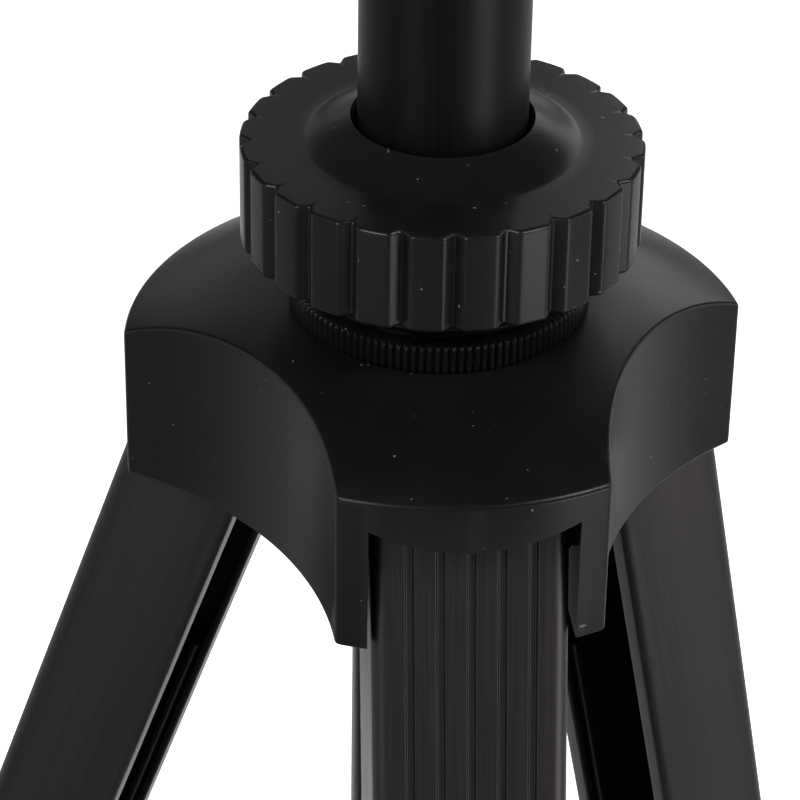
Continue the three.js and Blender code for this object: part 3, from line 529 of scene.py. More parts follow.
def disc(radius, segments):
    """A circle's outline."""
    return [point[:2] for point in circle(radius, 0, segments)]


def inset(outline, depth):
    """An outline moved inwards."""
    points = [Vector(point[:2]) for point in outline]
    pairs = list(zip(points, points[1:] + points[:1]))
    turn = 1 if sum(a.cross(b) for a, b in pairs) > 0 else -1
    normals = []
    for a, b in pairs:
        along = (b - a).normalized()
        normals.append(Vector((-along.y, along.x)) * turn)
    moved = []
    for i, point in enumerate(points):
        before, after = normals[i - 1], normals[i]
        moved.append(point + (before + after) * (depth / max(1 + before.dot(after), 0.3)))
    return moved


def stack(outline, levels):
    """A solid through one outline at (height, inset) levels."""
    rings = [[(*point, height) for point in inset(outline, depth)] for height, depth in levels]
    return skin(rings)


def eased(low, high, edge, steps=3):
    """Levels of a prism whose two rims are rounded."""
    quarter = [math.pi / 2 * k / steps for k in range(steps + 1)]
    rise = [(edge * (1 - math.cos(a)), edge * (1 - math.sin(a))) for a in quarter]
    top = [(high - height, depth) for height, depth in reversed(rise)]
    return [(low + height, depth) for height, depth in rise] + top


def prism(outline, low, high, edge=0.0):
    return stack(outline, eased(low, high, edge) if edge else [(low, 0), (high, 0)])


def rectangle(x0, x1, y0, y1, corner, steps=4):
    corners = [(x0, y0, corner), (x1, y0, corner), (x1, y1, corner), (x0, y1, corner)]
    return rounded(corners, steps)


def block(low, high, edge=0.0, corner=None):
    """A box between two corners, with rounded edges."""
    outline = rectangle(low[0], high[0], low[1], high[1], edge if corner is None else corner)
    return prism(outline, low[2], high[2], edge)


def bar(radius, low, high, edge=0.0, segments=32):
    """A round bar along Z."""
    return prism(disc(radius, segments), low, high, edge)


def pin_hole(radius):
    """The tool for a pin's through hole, along Z."""
    return bar(radius + GAP, -PIN_HOLE_REACH, PIN_HOLE_REACH)


def moved(piece, *matrices):
    """The piece with its mesh moved by the matrices, the last one first."""
    for matrix in reversed(matrices):
        piece.data.transform(matrix)
    return piece


def baked(piece):
    """The piece with its modifiers turned into mesh."""
    bpy.context.view_layer.update()
    evaluated = piece.evaluated_get(bpy.context.evaluated_depsgraph_get())
    made = bpy.data.meshes.new_from_object(evaluated)
    piece.modifiers.clear()
    piece.data = made
    return piece


def combined(piece, tools, operation):
    for tool in tools:
        modifier = piece.modifiers.new("combine", "BOOLEAN")
        modifier.operation = operation
        modifier.solver = "MANIFOLD"
        modifier.object = tool
    baked(piece)
    for tool in tools:
        bpy.data.objects.remove(tool)
    return piece


def cut(piece, *tools):
    return combined(piece, tools, "DIFFERENCE")


def fused(piece, *others):
    return combined(piece, others, "UNION")


def gathered(piece, *others):
    """One mesh of several closed shells."""
    builder = bmesh.new()
    for part in (piece, *others):
        builder.from_mesh(part.data)
    builder.to_mesh(piece.data)
    builder.free()
    for part in others:
        bpy.data.objects.remove(part)
    return piece


def finished(piece, node, finish=None, extra=None, crease=38):
    """Puts a piece in place of its CAD node, or beside it as an extra, with its finish."""
    cad = frame["nodes"][node]
    slots = {part["node"]: part["material_slot"] for part in frame["record"]["subparts"]}
    piece.name = extra or f"fine_{node}"
    piece.data.name = piece.name
    piece.data.transform(Matrix.Scale(MM, 4))
    piece.data.shade_smooth()
    piece.data.set_sharp_from_angle(angle=math.radians(crease))
    modifier = piece.modifiers.new("even", "WEIGHTED_NORMAL")
    modifier.keep_sharp = True
    baked(piece)
    piece.data.materials.clear()
    piece.data.materials.append(finish or FINISHES[slots[node]])
    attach(piece, cad["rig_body"])
    if not extra:
        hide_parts(node)
    return piece


# ---- Shapes that repeat, as geometry nodes ----------------------------------------------------------


class Pattern(Graph):
    """A geometry node tree with named inputs that ends in Realize Instances and Set Material."""

    def __init__(self, name, sizes):
        self.group = bpy.data.node_groups.new(name, "GeometryNodeTree")
        super().__init__(self.group)
        face = self.group.interface
        face.new_socket("Geometry", in_out="OUTPUT", socket_type="NodeSocketGeometry")
        face.new_socket("Geometry", in_out="INPUT", socket_type="NodeSocketGeometry")
        for size in sizes:
            face.new_socket(size, in_out="INPUT", socket_type="NodeSocketFloat")
        face.new_socket("Finish", in_out="INPUT", socket_type="NodeSocketMaterial")
        start = self.tree.nodes.new("NodeGroupInput")
        self.inputs = {socket.name: Signal(self, socket) for socket in start.outputs if socket.name}
        self.place = self.node("GeometryNodeInputPosition")

    def end(self, geometry):
        real = self.node("GeometryNodeRealizeInstances", {}, {0: geometry})
        dressed = self.node("GeometryNodeSetMaterial", {}, {0: real, 2: self.inputs["Finish"]})
        self.node("NodeGroupOutput", {}, {0: dressed})

    def applied(self, piece, finish, **sizes):
        """The piece with this pattern turned into its mesh."""
        modifier = piece.modifiers.new("pattern", "NODES")
        modifier.node_group = self.group
        named = {name.replace("_", " "): value for name, value in sizes.items()}
        named["Finish"] = finish
        for item in self.group.interface.items_tree:
            if item.in_out == "INPUT" and item.name in named:
                modifier[item.identifier] = named[item.name]
        return baked(piece)


def toothed_pattern():
    """Draws a turned rim in between its teeth, and rounds the teeth's two ends."""
    pattern = Pattern("toothed_rim", ["Teeth", "Tip", "Depth", "Land", "Turn", "Low", "High", "Edge"])
    x, y, z = pattern.axes(pattern.place)
    turns = y.math("ARCTAN2", x) / (2 * math.pi)
    phase = (turns * pattern.inputs["Teeth"] + pattern.inputs["Turn"]).math("FRACT")
    apart = abs(phase - 0.5) * 2
    land = pattern.inputs["Land"]
    valley = ((apart - land) / (1 - land)).clamped()
    edge = pattern.inputs["Edge"]
    near = (z - pattern.inputs["Low"]).math("MINIMUM", pattern.inputs["High"] - z)
    drawn = (1 - near / edge).clamped().power(2) * edge
    limit = pattern.inputs["Tip"] - pattern.inputs["Depth"] * valley - drawn
    radius = (x * x + y * y).math("SQRT").math("MAXIMUM", 1e-6)
    share = radius.math("MINIMUM", limit) / radius
    spot = pattern.node("ShaderNodeCombineXYZ", {}, {0: x * share, 1: y * share, 2: z})
    sockets = {"Geometry": pattern.inputs["Geometry"], "Position": spot}
    pattern.end(pattern.node("GeometryNodeSetPosition", {}, sockets))
    return pattern


def row_pattern():
    """Repeats a shape along a row, centred on where it was made."""
    pattern = Pattern("row_of_copies", ["Copies", "Step X", "Step Y", "Step Z"])
    copies = pattern.inputs["Copies"]
    steps = {axis: pattern.inputs[f"Step {name}"] for axis, name in enumerate("XYZ")}
    step = pattern.node("ShaderNodeCombineXYZ", {}, steps)
    back = (1 - copies) / 2
    starts = {axis: size * back for axis, size in steps.items()}
    start = pattern.node("ShaderNodeCombineXYZ", {}, starts)
    sockets = {"Count": copies, "Start Location": start, "Offset": step}
    row = pattern.node("GeometryNodeMeshLine", {"mode": "OFFSET"}, sockets)
    sockets = {"Points": row, "Instance": pattern.inputs["Geometry"]}
    pattern.end(pattern.node("GeometryNodeInstanceOnPoints", {}, sockets))
    return pattern


def circle_pattern():
    """Repeats a shape round the Z axis."""
    pattern = Pattern("circle_of_copies", ["Copies"])
    copies = pattern.inputs["Copies"]
    points = pattern.node("GeometryNodePoints", {}, {"Count": copies})
    turn = pattern.node("GeometryNodeInputIndex") * (2 * math.pi) / copies
    spin = pattern.node("ShaderNodeCombineXYZ", {}, {2: turn})
    sockets = {"Points": points, "Instance": pattern.inputs["Geometry"], "Rotation": spin}
    pattern.end(pattern.node("GeometryNodeInstanceOnPoints", {}, sockets))
    return pattern


TOOTHED = toothed_pattern()
IN_A_ROW = row_pattern()
IN_A_CIRCLE = circle_pattern()


def toothed(piece, slot, teeth, tip, depth, land, turn, ends):
    low, high, edge = ends
    sizes = {"Teeth": teeth, "Tip": tip, "Depth": depth, "Land": land, "Turn": turn}
    sizes.update({"Low": low, "High": high, "Edge": edge})
    return TOOTHED.applied(piece, FINISHES[slot], **{name: float(size) for name, size in sizes.items()})


def row_of(piece, finish, copies, step):
    sizes = {"Copies": copies, "Step_X": step[0], "Step_Y": step[1], "Step_Z": step[2]}
    return IN_A_ROW.applied(piece, finish, **{name: float(size) for name, size in sizes.items()})


# ---- Hub --------------------------------------------------------------------------------------------

FOOT, NECK_TOP = heights("crown")
CROWN_TOP = heights("lock_ring")[0] - GAP
POCKET_HALF = OUTER["width"] / 2 + LEG_SIDE_GAP
POCKET_TOP = CROWN_TOP - CROWN_RISE - LINTEL


def heading_of(leg):
    """A leg's direction from the hub, seen from above."""
    reach = place_of(f"splay_{leg}") - HUB
    return math.atan2(reach.y, reach.x)


HEADINGS = {leg: heading_of(leg) for leg in LEGS}


def arc(centre, radius, start, end, steps):
    """Points along an arc, without its last one."""
    angles = [start + (end - start) * k / steps for k in range(steps)]
    return [centre + radius * Vector((math.cos(a), math.sin(a))) for a in angles]


def crown_outline():
    """The crown from above: three round lobe ends joined by concave walls."""
    lobe_half = math.asin((POCKET_HALF + CHEEK_WALL) / CROWN_RADIUS)
    pocket = math.asin(POCKET_HALF / CROWN_RADIUS)
    corner = math.pi / 3 - lobe_half
    cx, cy = CROWN_RADIUS * math.cos(corner), CROWN_RADIUS * math.sin(corner)
    centre = (CROWN_RADIUS**2 - SCALLOP_RADIUS**2) / (2 * (cx - SCALLOP_RADIUS))
    radius = centre - SCALLOP_RADIUS
    half = math.asin(cy / radius)
    points = []
    for heading in sorted(HEADINGS.values()):
        wall = heading + math.pi / 3
        for start, end, steps in ((-lobe_half, -pocket, 4), (-pocket, pocket, 20), (pocket, lobe_half, 4)):
            points += arc(Vector((0, 0)), CROWN_RADIUS, heading + start, heading + end, steps)
        middle = Vector((math.cos(wall), math.sin(wall))) * centre
        points += arc(middle, radius, wall + math.pi + half, wall + math.pi - half, 44)
    corners = []
    for before, here, after in zip(points[-1:] + points, points, points[1:] + points[:1]):
        sharp = (here - before).angle(after - here) > math.radians(20)
        corners.append((*here, 2 * CROWN_EDGE if sharp else 0))
    return rounded(corners)


def dome(radius):
    """The crown top's height at a radius."""
    share = max(radius - RING_RADIUS, 0) / (CROWN_RADIUS - RING_RADIUS)
    return CROWN_TOP - CROWN_RISE * share**2


def crown_rings():
    """Rings up the crown's wall, in over its domed top and up its neck."""
    outline = crown_outline()
    quarter = [math.pi / 2 * k / 4 for k in range(5)]
    rings = []
    for turn in reversed(quarter):
        edge = inset(outline, CROWN_EDGE * (1 - math.cos(turn)))
        rings.append([(*point, FOOT + CROWN_EDGE * (1 - math.sin(turn))) for point in edge])
    for turn in quarter:
        edge = inset(outline, CROWN_EDGE * (1 - math.cos(turn)))
        drop = CROWN_EDGE * (1 - math.sin(turn))
        rings.append([(*point, dome(point.length) - drop) for point in edge])
    for share in (0.06, 0.2, 0.35, 0.5, 0.65, 0.8, 0.92, 1):
        ring = []
        for point in edge:
            radius = point.length + share * (RING_RADIUS - 1 - point.length)
            ring.append((*(point.normalized() * radius), dome(radius)))
        rings.append(ring)
    for radius, height in ((NECK_RADIUS - 0.6, CROWN_TOP), (NECK_RADIUS - 0.6, NECK_TOP)):
        rings.append([(*(point.normalized() * radius), height) for point in edge])
    return rings


def neck_thread():
    """A sleeve with the neck's screw thread."""
    top = NECK_TOP - 0.5
    bottom = CROWN_TOP + GAP
    segments = 96
    rows = math.ceil((top - bottom) / THREAD_PITCH * 8)
    rings = [circle(NECK_RADIUS - 1, bottom, segments)]
    for row in range(rows + 1):
        height = bottom + (top - bottom) * row / rows
        ring = []
        for i in range(segments):
            wave = math.cos(2 * math.pi * (height / THREAD_PITCH - i / segments))
            radius = NECK_RADIUS + THREAD_DEPTH * (0.5 * wave - 0.25)
            angle = 2 * math.pi * i / segments
            ring.append((radius * math.cos(angle), radius * math.sin(angle), height))
        rings.append(ring)
    rings.append(circle(NECK_RADIUS - 1, top, segments))
    return skin(rings, loop=True)


def lobe_opening():
    """The part of a leg's pocket under the lintel's lip, whose lower edge hangs in an arch."""
    half, low = POCKET_HALF, FOOT - 1
    radius = (half**2 + LINTEL_ARCH**2) / (2 * LINTEL_ARCH)
    sweep = math.asin(half / radius)
    outline = [Vector((half, low)), Vector((half, POCKET_TOP))]
    for k in range(1, 24):
        angle = sweep * (1 - k / 12)
        drop = radius * math.cos(angle) - radius + LINTEL_ARCH
        outline.append(Vector((radius * math.sin(angle), POCKET_TOP - drop)))
    outline += [Vector((-half, POCKET_TOP)), Vector((-half, low))]
    near, far = CROWN_RADIUS - LINTEL_WALL - 0.5, CROWN_RADIUS + 5
    return moved(prism(outline, near, far), OUTWARD)


def make_crown():
    tools = [
        bar(COLLAR_BORE - GAP, FOOT - 1, NECK_TOP + 1, segments=96),
        bar(NECK_BORE, CROWN_TOP - 4, NECK_TOP + 1, segments=96),
    ]
    pin_radius = PIVOT_PIN_RADIUS + GAP
    pin_half = POCKET_HALF + PIVOT_PIN_SEAT + GAP
    for leg, heading in HEADINGS.items():
        turn = Matrix.Rotation(heading, 4, "Z")
        low = (GUIDE_RADIUS, -POCKET_HALF, FOOT - 1)
        pocket = block(low, (CROWN_RADIUS - LINTEL_WALL, POCKET_HALF, POCKET_TOP))
        pivot = place_of(f"splay_{leg}")
        seat_place = at((pivot - HUB).xy.length, 0, HUB.z + (pivot - HUB).z)
        seat = moved(bar(pin_radius, -pin_half, pin_half), turn, seat_place, FACING)
        core = bar(CORE_HOLE_RADIUS, FOOT - 1, POCKET_TOP)
        wall = Matrix.Rotation(heading + math.pi / 3, 4, "Z")
        across = at((GUIDE_RADIUS + SCALLOP_RADIUS) / 2, 0, 0)
        tools += [moved(pocket, turn), moved(lobe_opening(), turn), seat, moved(core, wall, across)]
    crown = cut(skin(crown_rings()), *tools)
    finished(moved(gathered(crown, neck_thread()), ON_AXIS), "crown")


def make_lock_ring():
    low, high = heights("lock_ring")
    corners = [
        (RING_BORE, low, 0.2),
        (RING_RADIUS, low, 0.5),
        (RING_RADIUS, high, 0.7),
        (RING_BORE + 0.3, high, 0.3),
        (RING_BORE, high - 0.5, 0.2),
    ]
    ring = lathe(rounded(corners, 3), RING_TEETH * 6)
    ring = toothed(ring, "crown_plastic", RING_TEETH, RING_RADIUS, 0.75, 0.06, 0, (low, high, 0.35))
    finished(moved(ring, ON_AXIS), "lock_ring", crease=30)


def make_collar():
    low, top = heights("column_collar")
    low -= COLLAR_SKIRT
    rim = HUB.z
    boss = []
    for k in range(13):
        share = k / 12
        radius = COLLAR_BOSS_RADIUS + (COLLAR_BORE + 0.5 - COLLAR_BOSS_RADIUS) * share
        boss.append((radius, rim + (top - rim) * share**1.35 * (1.35 - 0.35 * share)))
    outside = [(RING_BORE, low, 0.2), (COLLAR_RADIUS, low, 0.7)]
    outside += [(COLLAR_RADIUS, rim, COLLAR_CHAMFER)]
    edge = rounded([(RING_BORE, rim, 0), *outside], 4)[1:]
    inside = [
        (COLLAR_BORE, top - 0.6),
        (COLLAR_BORE, NECK_TOP + 7.4),
        (NECK_BORE + 3.2, NECK_TOP + 2),
        (RING_BORE, NECK_TOP + 2),
        (RING_BORE, low + 0.3),
    ]
    shelf = [(radius, rim) for radius in (26.4, 24.5, 22.5)]
    points = edge + shelf + boss + inside
    collar = lathe(points, COLLAR_TEETH * 24)
    teeth = (COLLAR_TEETH, COLLAR_RADIUS, COLLAR_TOOTH_DEPTH, COLLAR_TOOTH_LAND, COLLAR_TURN)
    collar = toothed(collar, "collar_plastic", *teeth, (low, rim, COLLAR_CHAMFER))
    finished(moved(collar, ON_AXIS), "column_collar", crease=34)


def make_column():
    low, high = heights("column_tube")
    inner = COLUMN_RADIUS - COLUMN_WALL
    corners = [
        (inner, low, 0.2),
        (COLUMN_RADIUS, low, 0.5),
        (COLUMN_RADIUS, high, 0.5),
        (inner, high, 0.2),
    ]
    finished(moved(lathe(rounded(corners), 96), ON_AXIS), "column_tube")
    low, high = heights("column_plug")
    flange = heights("column_tube")[0] - GAP
    corners = [
        (0, low, 0),
        (6, low, 1),
        (8, low + 1.2, 1),
        (COLUMN_RADIUS - 0.5, low, 1.2),
        (COLUMN_RADIUS + 1, low + 1.6, 1),
        (COLUMN_RADIUS + 1, flange, 0.5),
        (inner - GAP, flange, 0.2),
        (inner - GAP, high, 1),
        (0, high, 0),
    ]
    finished(moved(lathe(profile(corners)), ON_AXIS), "column_plug")


# ---- Legs -------------------------------------------------------------------------------------------

# Distances down the closed leg from its pivot
CLAMP_LENGTH = CLAMP_HOLD + CLAMP_NOSE
UPPER_DROP = 302
LOWER_DROP = 346
OUTER_ENDS = (-5, 324)
MIDDLE_ENDS = (66, 368)
LOWER_LENGTH = 257  # from the foot's end up


def channel_outline(section, flutes):
    """A channel that is open on its inner side between two lips."""
    face, wall, lip = section["face"], section["wall"], section["lip"]
    y = section["width"] / 2
    back = face - section["depth"]
    corners = [(back, -y + lip, 0.4), (back + wall, -y + lip, 0.4), (back + wall, -y + wall, 0.5)]
    corners += [(face - wall, -y + wall, 1.2), (face - wall, y - wall, 1.2)]
    corners += [(back + wall, y - wall, 0.5), (back + wall, y - lip, 0.4), (back, y - lip, 0.4)]
    corners += [(back, y, 1.4), (face, y, LEG_CORNER)]
    edge, floor = FLUTE_WIDTH / 2, FLUTE_WIDTH / 2 - 0.25
    for i in range(flutes):
        middle = ((flutes - 1) / 2 - i) * FLUTE_PITCH
        corners += [(face, middle + edge, 0.15), (face - FLUTE_DEPTH, middle + floor, 0.25)]
        corners += [(face - FLUTE_DEPTH, middle - floor, 0.25), (face, middle - edge, 0.15)]
    corners += [(face, -y, LEG_CORNER), (back, -y, 1.4)]
    return rounded(corners)


def section_outline(section, grown, corner):
    back = section["face"] - section["depth"]
    half = section["width"] / 2 + grown
    return rectangle(back - grown, section["face"] + grown, -half, half, corner, 6)


def make_channels(name, frame_of_leg):
    finish = LEG_FINISHES[name]
    outer = prism(channel_outline(OUTER, FLUTES), -OUTER_ENDS[1], -OUTER_ENDS[0], 0.2)
    bore = moved(pin_hole(PIVOT_PIN_RADIUS), FACING)
    finished(moved(cut(outer, bore), frame_of_leg), f"leg_channel_{name}", finish)
    middle = prism(channel_outline(MIDDLE, 0), -MIDDLE_ENDS[1], -MIDDLE_ENDS[0], 0.2)
    finished(moved(middle, frame_of_leg), f"leg_middle_{name}", finish)


def make_lower(name, frame_of_leg, foot):
    top = foot + LOWER_LENGTH
    wall = LOWER["wall"]
    tube = prism(section_outline(LOWER, 0, 2.2), foot + FOOT_SOLE, top, 0.2)
    hollow = prism(section_outline(LOWER, -wall, 1.2), foot + FOOT_SOLE - 1, top + 1)
    finished(moved(cut(tube, hollow), frame_of_leg), f"leg_lower_{name}", LEG_FINISHES[name])


def make_foot(name, frame_of_leg, foot):
    """A rubber boot with grip ribs, its sole cut flat on the floor."""
    top = foot + FOOT_LENGTH
    levels = [(foot - 10, 0.2)]
    for rib in range(FOOT_RIBS):
        height = foot + 3 + rib * FOOT_RIB_PITCH
        levels += [(height - 0.5, 0), (height, 0.8), (height + 0.7, 0.8), (height + 1.2, 0)]
    levels += [(foot + 21, 0), (foot + 24, 1.1), (top - 1, 1.1), (top - 0.3, 1.4), (top, 2)]
    boot = stack(section_outline(LOWER, FOOT_RUBBER, LEG_CORNER + 3), levels)
    socket = prism(section_outline(LOWER, GAP, 2.4), foot + FOOT_SOLE - GAP, top + 1)
    boot = moved(cut(boot, socket), frame_of_leg)
    ground = block((-500, -500, -200), (500, 500, 0))
    finished(cut(boot, ground), f"foot_{name}")


def lever_place(section, drop):
    """Where a clamp's lever turns, and half its width."""
    x = section["face"] + GAP + CLAMP_WALL + LEVER_BARREL + GAP
    return x, -drop - CLAMP_LENGTH + LEVER_INSET, section["width"] / 2 - LEVER_EAR


def make_clamp(node, frame_of_leg, section, inner, drop):
    """A clamp housing: it grips one section's end and guides the next one."""
    shell = GAP + CLAMP_WALL
    top, bottom = -drop, -drop - CLAMP_LENGTH
    shelf = top - CLAMP_HOLD
    levels = [(bottom, 1.4), (bottom + 0.4, 0.9), (bottom + 1.1, 0.6), (shelf - 5, 0.6), (shelf - 3, 0)]
    levels += [(shelf + 1, 0), (shelf + 1.4, 0.5), (shelf + 2.2, 0.5), (shelf + 2.6, 0)]
    levels += [(top - 4, 0), (top - 3.6, 0.5), (top - 2.8, 0.5), (top - 2.4, 0)]
    levels += [(top - 0.9, 0), (top - 0.3, 0.3), (top, 0.9)]
    clamp = stack(section_outline(section, shell, 4), levels)
    x, z, half = lever_place(section, drop)
    face = section["face"] + shell
    ears = []
    for side in (-1, 1):
        middle = side * (half + GAP + LEVER_EAR / 2)
        corners = [(face - 1, z - 5, 0.3), (face, z - 5, 0.4), (x, z - LEVER_BARREL, 3)]
        corners += [(x + LEVER_BARREL, z - LEVER_BARREL, 4), (x + LEVER_BARREL, z + LEVER_BARREL, 4)]
        corners += [(x - 1, z + LEVER_BARREL, 3), (face, z + 8, 1), (face - 1, z + 8, 0.3)]
        ear = prism(rounded(corners), -LEVER_EAR / 2, LEVER_EAR / 2, 0.5)
        ears.append(moved(ear, at(0, middle, 0), FACING))
    clamp = fused(clamp, *ears)
    hold = prism(section_outline(section, GAP, 2), shelf - GAP, top + 1)
    guide = prism(section_outline(inner, GAP, 2), bottom - 1, top)
    hole = moved(pin_hole(LEVER_TRUNNION), at(x, 0, z), FACING)
    clamp = cut(clamp, hold, guide, hole)
    screws = []
    for side in (-1, 1):
        spot = (section["face"] - section["depth"] / 2, side * (section["width"] / 2 + shell), shelf - 9)
        screws.append(moved(side_screw(side), Matrix.Translation(spot)))
    finished(moved(clamp, frame_of_leg), node)
    extra = finished(moved(gathered(*screws), frame_of_leg), node, FINISHES["steel"], f"screws_{node}")


def side_screw(side):
    """A countersunk hexagon-socket screw head, facing along Y."""
    corners = [(0, -1.6, 0), (2.2, -1.6, 0.2), (2.2, 0.1, 0.3), (0, 0.1, 0)]
    head = lathe(profile(corners), 32)
    socket = prism(disc(1.2, 6), -0.9, 1)
    turn = Matrix.Rotation(math.radians(-90 * side), 4, "X")
    sink = at(0, -0.25 * side, 0)
    return moved(cut(head, socket), sink, turn)


def make_lever(node, frame_of_leg, section, drop):
    """A lever that lies flat up its clamp when locked, with a ribbed thumb end."""
    x, z, half = lever_place(section, drop)
    near = section["face"] + GAP + CLAMP_WALL + 2 * GAP
    far = near + LEVER_THICKNESS
    top = -drop + 1
    barrel = LEVER_BARREL
    corners = [(x - barrel, z - barrel, 4.1), (x + barrel, z - barrel, 4.1), (x + barrel, z + 5, 3)]
    corners += [(far, z + 9.5, 5), (far, top - 9, 8), (far + 2, top - 5, 2.5), (far + 2, top, 1)]
    corners += [(far + 0.2, top, 0.8), (near + 1.4, top - 7, 4), (near, top - 11, 4), (near, z + 2, 0.5)]
    arm = prism(rounded(corners, 6), -half, half, 0.9)
    arm = moved(arm, FACING)
    reach = half + LEVER_EAR
    trunnion = moved(bar(LEVER_TRUNNION, -reach, reach, 0.3), at(x, 0, z), FACING)
    lever = fused(arm, trunnion)
    rib = moved(bar(0.55, 2 - half, half - 2, 0.3, 16), FACING)
    ribs = row_of(rib, FINISHES["clamp_plastic"], 5, (0, 0, 2.2))
    moved(ribs, at(far - 0.1, 0, top - 14.5))
    finished(moved(gathered(lever, ribs), frame_of_leg), node)


def make_leg(name):
    frame_of_leg = leg_frame(name)
    pivot = place_of(f"splay_{name}")
    sole = Vector(MOUNTS[f"sole_{name}"]["pos_m"]) / MM
    down = Vector(JOINTS[f"middle_{name}_slide"]["axis"])
    foot = -(sole - pivot).dot(down)
    make_channels(name, frame_of_leg)
    make_clamp(f"upper_clamp_{name}", frame_of_leg, OUTER, MIDDLE, UPPER_DROP)
    make_lever(f"upper_lever_{name}", frame_of_leg, OUTER, UPPER_DROP)
    make_clamp(f"lower_clamp_{name}", frame_of_leg, MIDDLE, LOWER, LOWER_DROP)
    make_lever(f"lower_lever_{name}", frame_of_leg, MIDDLE, LOWER_DROP)
    make_lower(name, frame_of_leg, foot)
    make_foot(name, frame_of_leg, foot)


# ---- Ball head --------------------------------------------------------------------------------------

BALL = place_of("ball_tilt")


def make_head_base():
    low, high = heights("head_base")
    seat, top = heights("column_tube")[1] + GAP, high - SPIGOT_HEIGHT
    plug = COLUMN_RADIUS - COLUMN_WALL - GAP
    corners = [
        (0, low, 0),
        (plug, low, 1),
        (plug, seat, 0.3),
        (HEAD_BASE_RADIUS, seat, 1.2),
        (HEAD_BASE_RADIUS, seat + 2, 0.3),
        (HEAD_BASE_RADIUS - 0.6, seat + 2.3, 0.2),
        (HEAD_BASE_RADIUS - 0.6, seat + 3, 0.2),
        (HEAD_BASE_RADIUS, seat + 3.3, 0.3),
        (HEAD_BASE_RADIUS, top, 0.8),
        (SPIGOT_RADIUS, top, 0.3),
        (SPIGOT_RADIUS, high, 0.5),
        (0, high, 0),
    ]
    base = lathe(profile(corners), 96)
    tick = block((HEAD_BASE_RADIUS - 0.35, -0.18, top - 2.6), (HEAD_BASE_RADIUS + 1, 0.18, top - 0.9))
    ticks = IN_A_CIRCLE.applied(tick, FINISHES["head_metal"], Copies=36.0)
    finished(moved(cut(base, ticks), ON_AXIS), "head_base")


def knob_frame(joint):
    """Its origin on the column's axis at a knob's height, with Z out along the knob."""
    turn = SIDEWAYS if JOINTS[joint]["axis"][0] > 0 else Matrix.Rotation(math.radians(-90), 4, "Y")
    return at(HUB.x, HUB.y, place_of(joint).z) @ turn


def make_housing():
    low, high = heights("head_housing")
    mouth = BALL.z + SOCKET_RADIUS - 4.5
    mouth_radius = math.sqrt(SOCKET_RADIUS**2 - (mouth - BALL.z) ** 2)
    corners = [
        (0, low, 0),
        (HOUSING_RADIUS, low, 0.9),
        (HOUSING_RADIUS, high - 9, 0.2),
        (HOUSING_RADIUS - 0.5, high - 8.7, 0.2),
        (HOUSING_RADIUS - 0.5, high - 8, 0.2),
        (HOUSING_RADIUS, high - 7.7, 0.2),
        (HOUSING_RADIUS, high - 3.6, 2),
        (HOUSING_RADIUS - 2.4, high, 1.2),
        (0, high, 0),
    ]
    housing = lathe(profile(corners, 4), 96)
    rise = [(SOCKET_RADIUS * math.cos(a), BALL.z + SOCKET_RADIUS * math.sin(a)) for a in sphere_steps()]
    socket = lathe([(0, rise[0][1]), *rise[1:-1], (0, rise[-1][1])], 64)
    flare = [(0, mouth - 1), (mouth_radius, mouth - 1), (mouth_radius, mouth)]
    flare += [(mouth_radius + 2.4, high + 0.5), (0, high + 0.5)]
    spigot_top = heights("head_base")[1] + GAP
    tools = [socket, lathe(flare, 64), bar(SPIGOT_RADIUS + GAP, low - 1, spigot_top)]
    bosses = []
    for joint in ("ball_knob_turn", "pan_knob_turn"):
        where = knob_frame(joint)
        where.translation -= Vector((HUB.x, HUB.y, 0))
        face = HOUSING_RADIUS + KNOB_BOSS
        bosses.append(moved(bar(KNOB_STEM_RADIUS + 2.5, HOUSING_RADIUS - 4, face, 0.5), where))
        hole = bar(KNOB_STEM_RADIUS + GAP, HOUSING_RADIUS - KNOB_DEPTH - GAP, face + 1)
        tools.append(moved(hole, where))
    housing = cut(fused(housing, *bosses), *tools)
    finished(moved(housing, ON_AXIS), "head_housing")


def sphere_steps(steps=24):
    return [math.pi * (k / steps - 0.5) for k in range(steps + 1)]


def make_knob(node, joint, radius, lobes):
    """A lobed grip with a dished end, on its stem."""
    start = HOUSING_RADIUS + KNOB_BOSS + GAP
    end = start + KNOB_LENGTH
    corners = [
        (0, HOUSING_RADIUS - KNOB_DEPTH, 0),
        (KNOB_STEM_RADIUS, HOUSING_RADIUS - KNOB_DEPTH, 0.4),
        (KNOB_STEM_RADIUS, start, 0.1),
        (radius * 0.72, start, 0.8),
        (radius, start + 2.2, 1.5),
        (radius, end, 1.3),
        (radius * 0.72, end, 0.4),
        (radius * 0.66, end - 0.7, 0.4),
        (0, end - 0.7, 0),
    ]
    knob = lathe(profile(corners, 5), lobes * 24)
    knob = toothed(knob, "knob_rubber", lobes, radius, radius * 0.16, 0.45, 0.5, (start, end, 1.3))
    finished(moved(knob, knob_frame(joint)), node, crease=45)


def make_ball_stem():
    top = heights("ball_stem")[1]
    ball = []
    for angle in sphere_steps(32):
        radius, height = BALL_RADIUS * math.cos(angle), BALL.z + BALL_RADIUS * math.sin(angle)
        if height < BALL.z or radius > STEM_RADIUS + 0.6:
            ball.append((radius, height))
    ball[0] = (0, ball[0][1])
    neck = BALL.z + math.sqrt(BALL_RADIUS**2 - STEM_RADIUS**2)
    stem = [(STEM_RADIUS + 0.15, neck), (STEM_RADIUS, neck + 0.5), (STEM_RADIUS, top - 0.3)]
    stem += [(STEM_RADIUS - 0.3, top), (0, top)]
    finished(moved(lathe(ball + stem, 64), ON_AXIS), "ball_stem", crease=50)


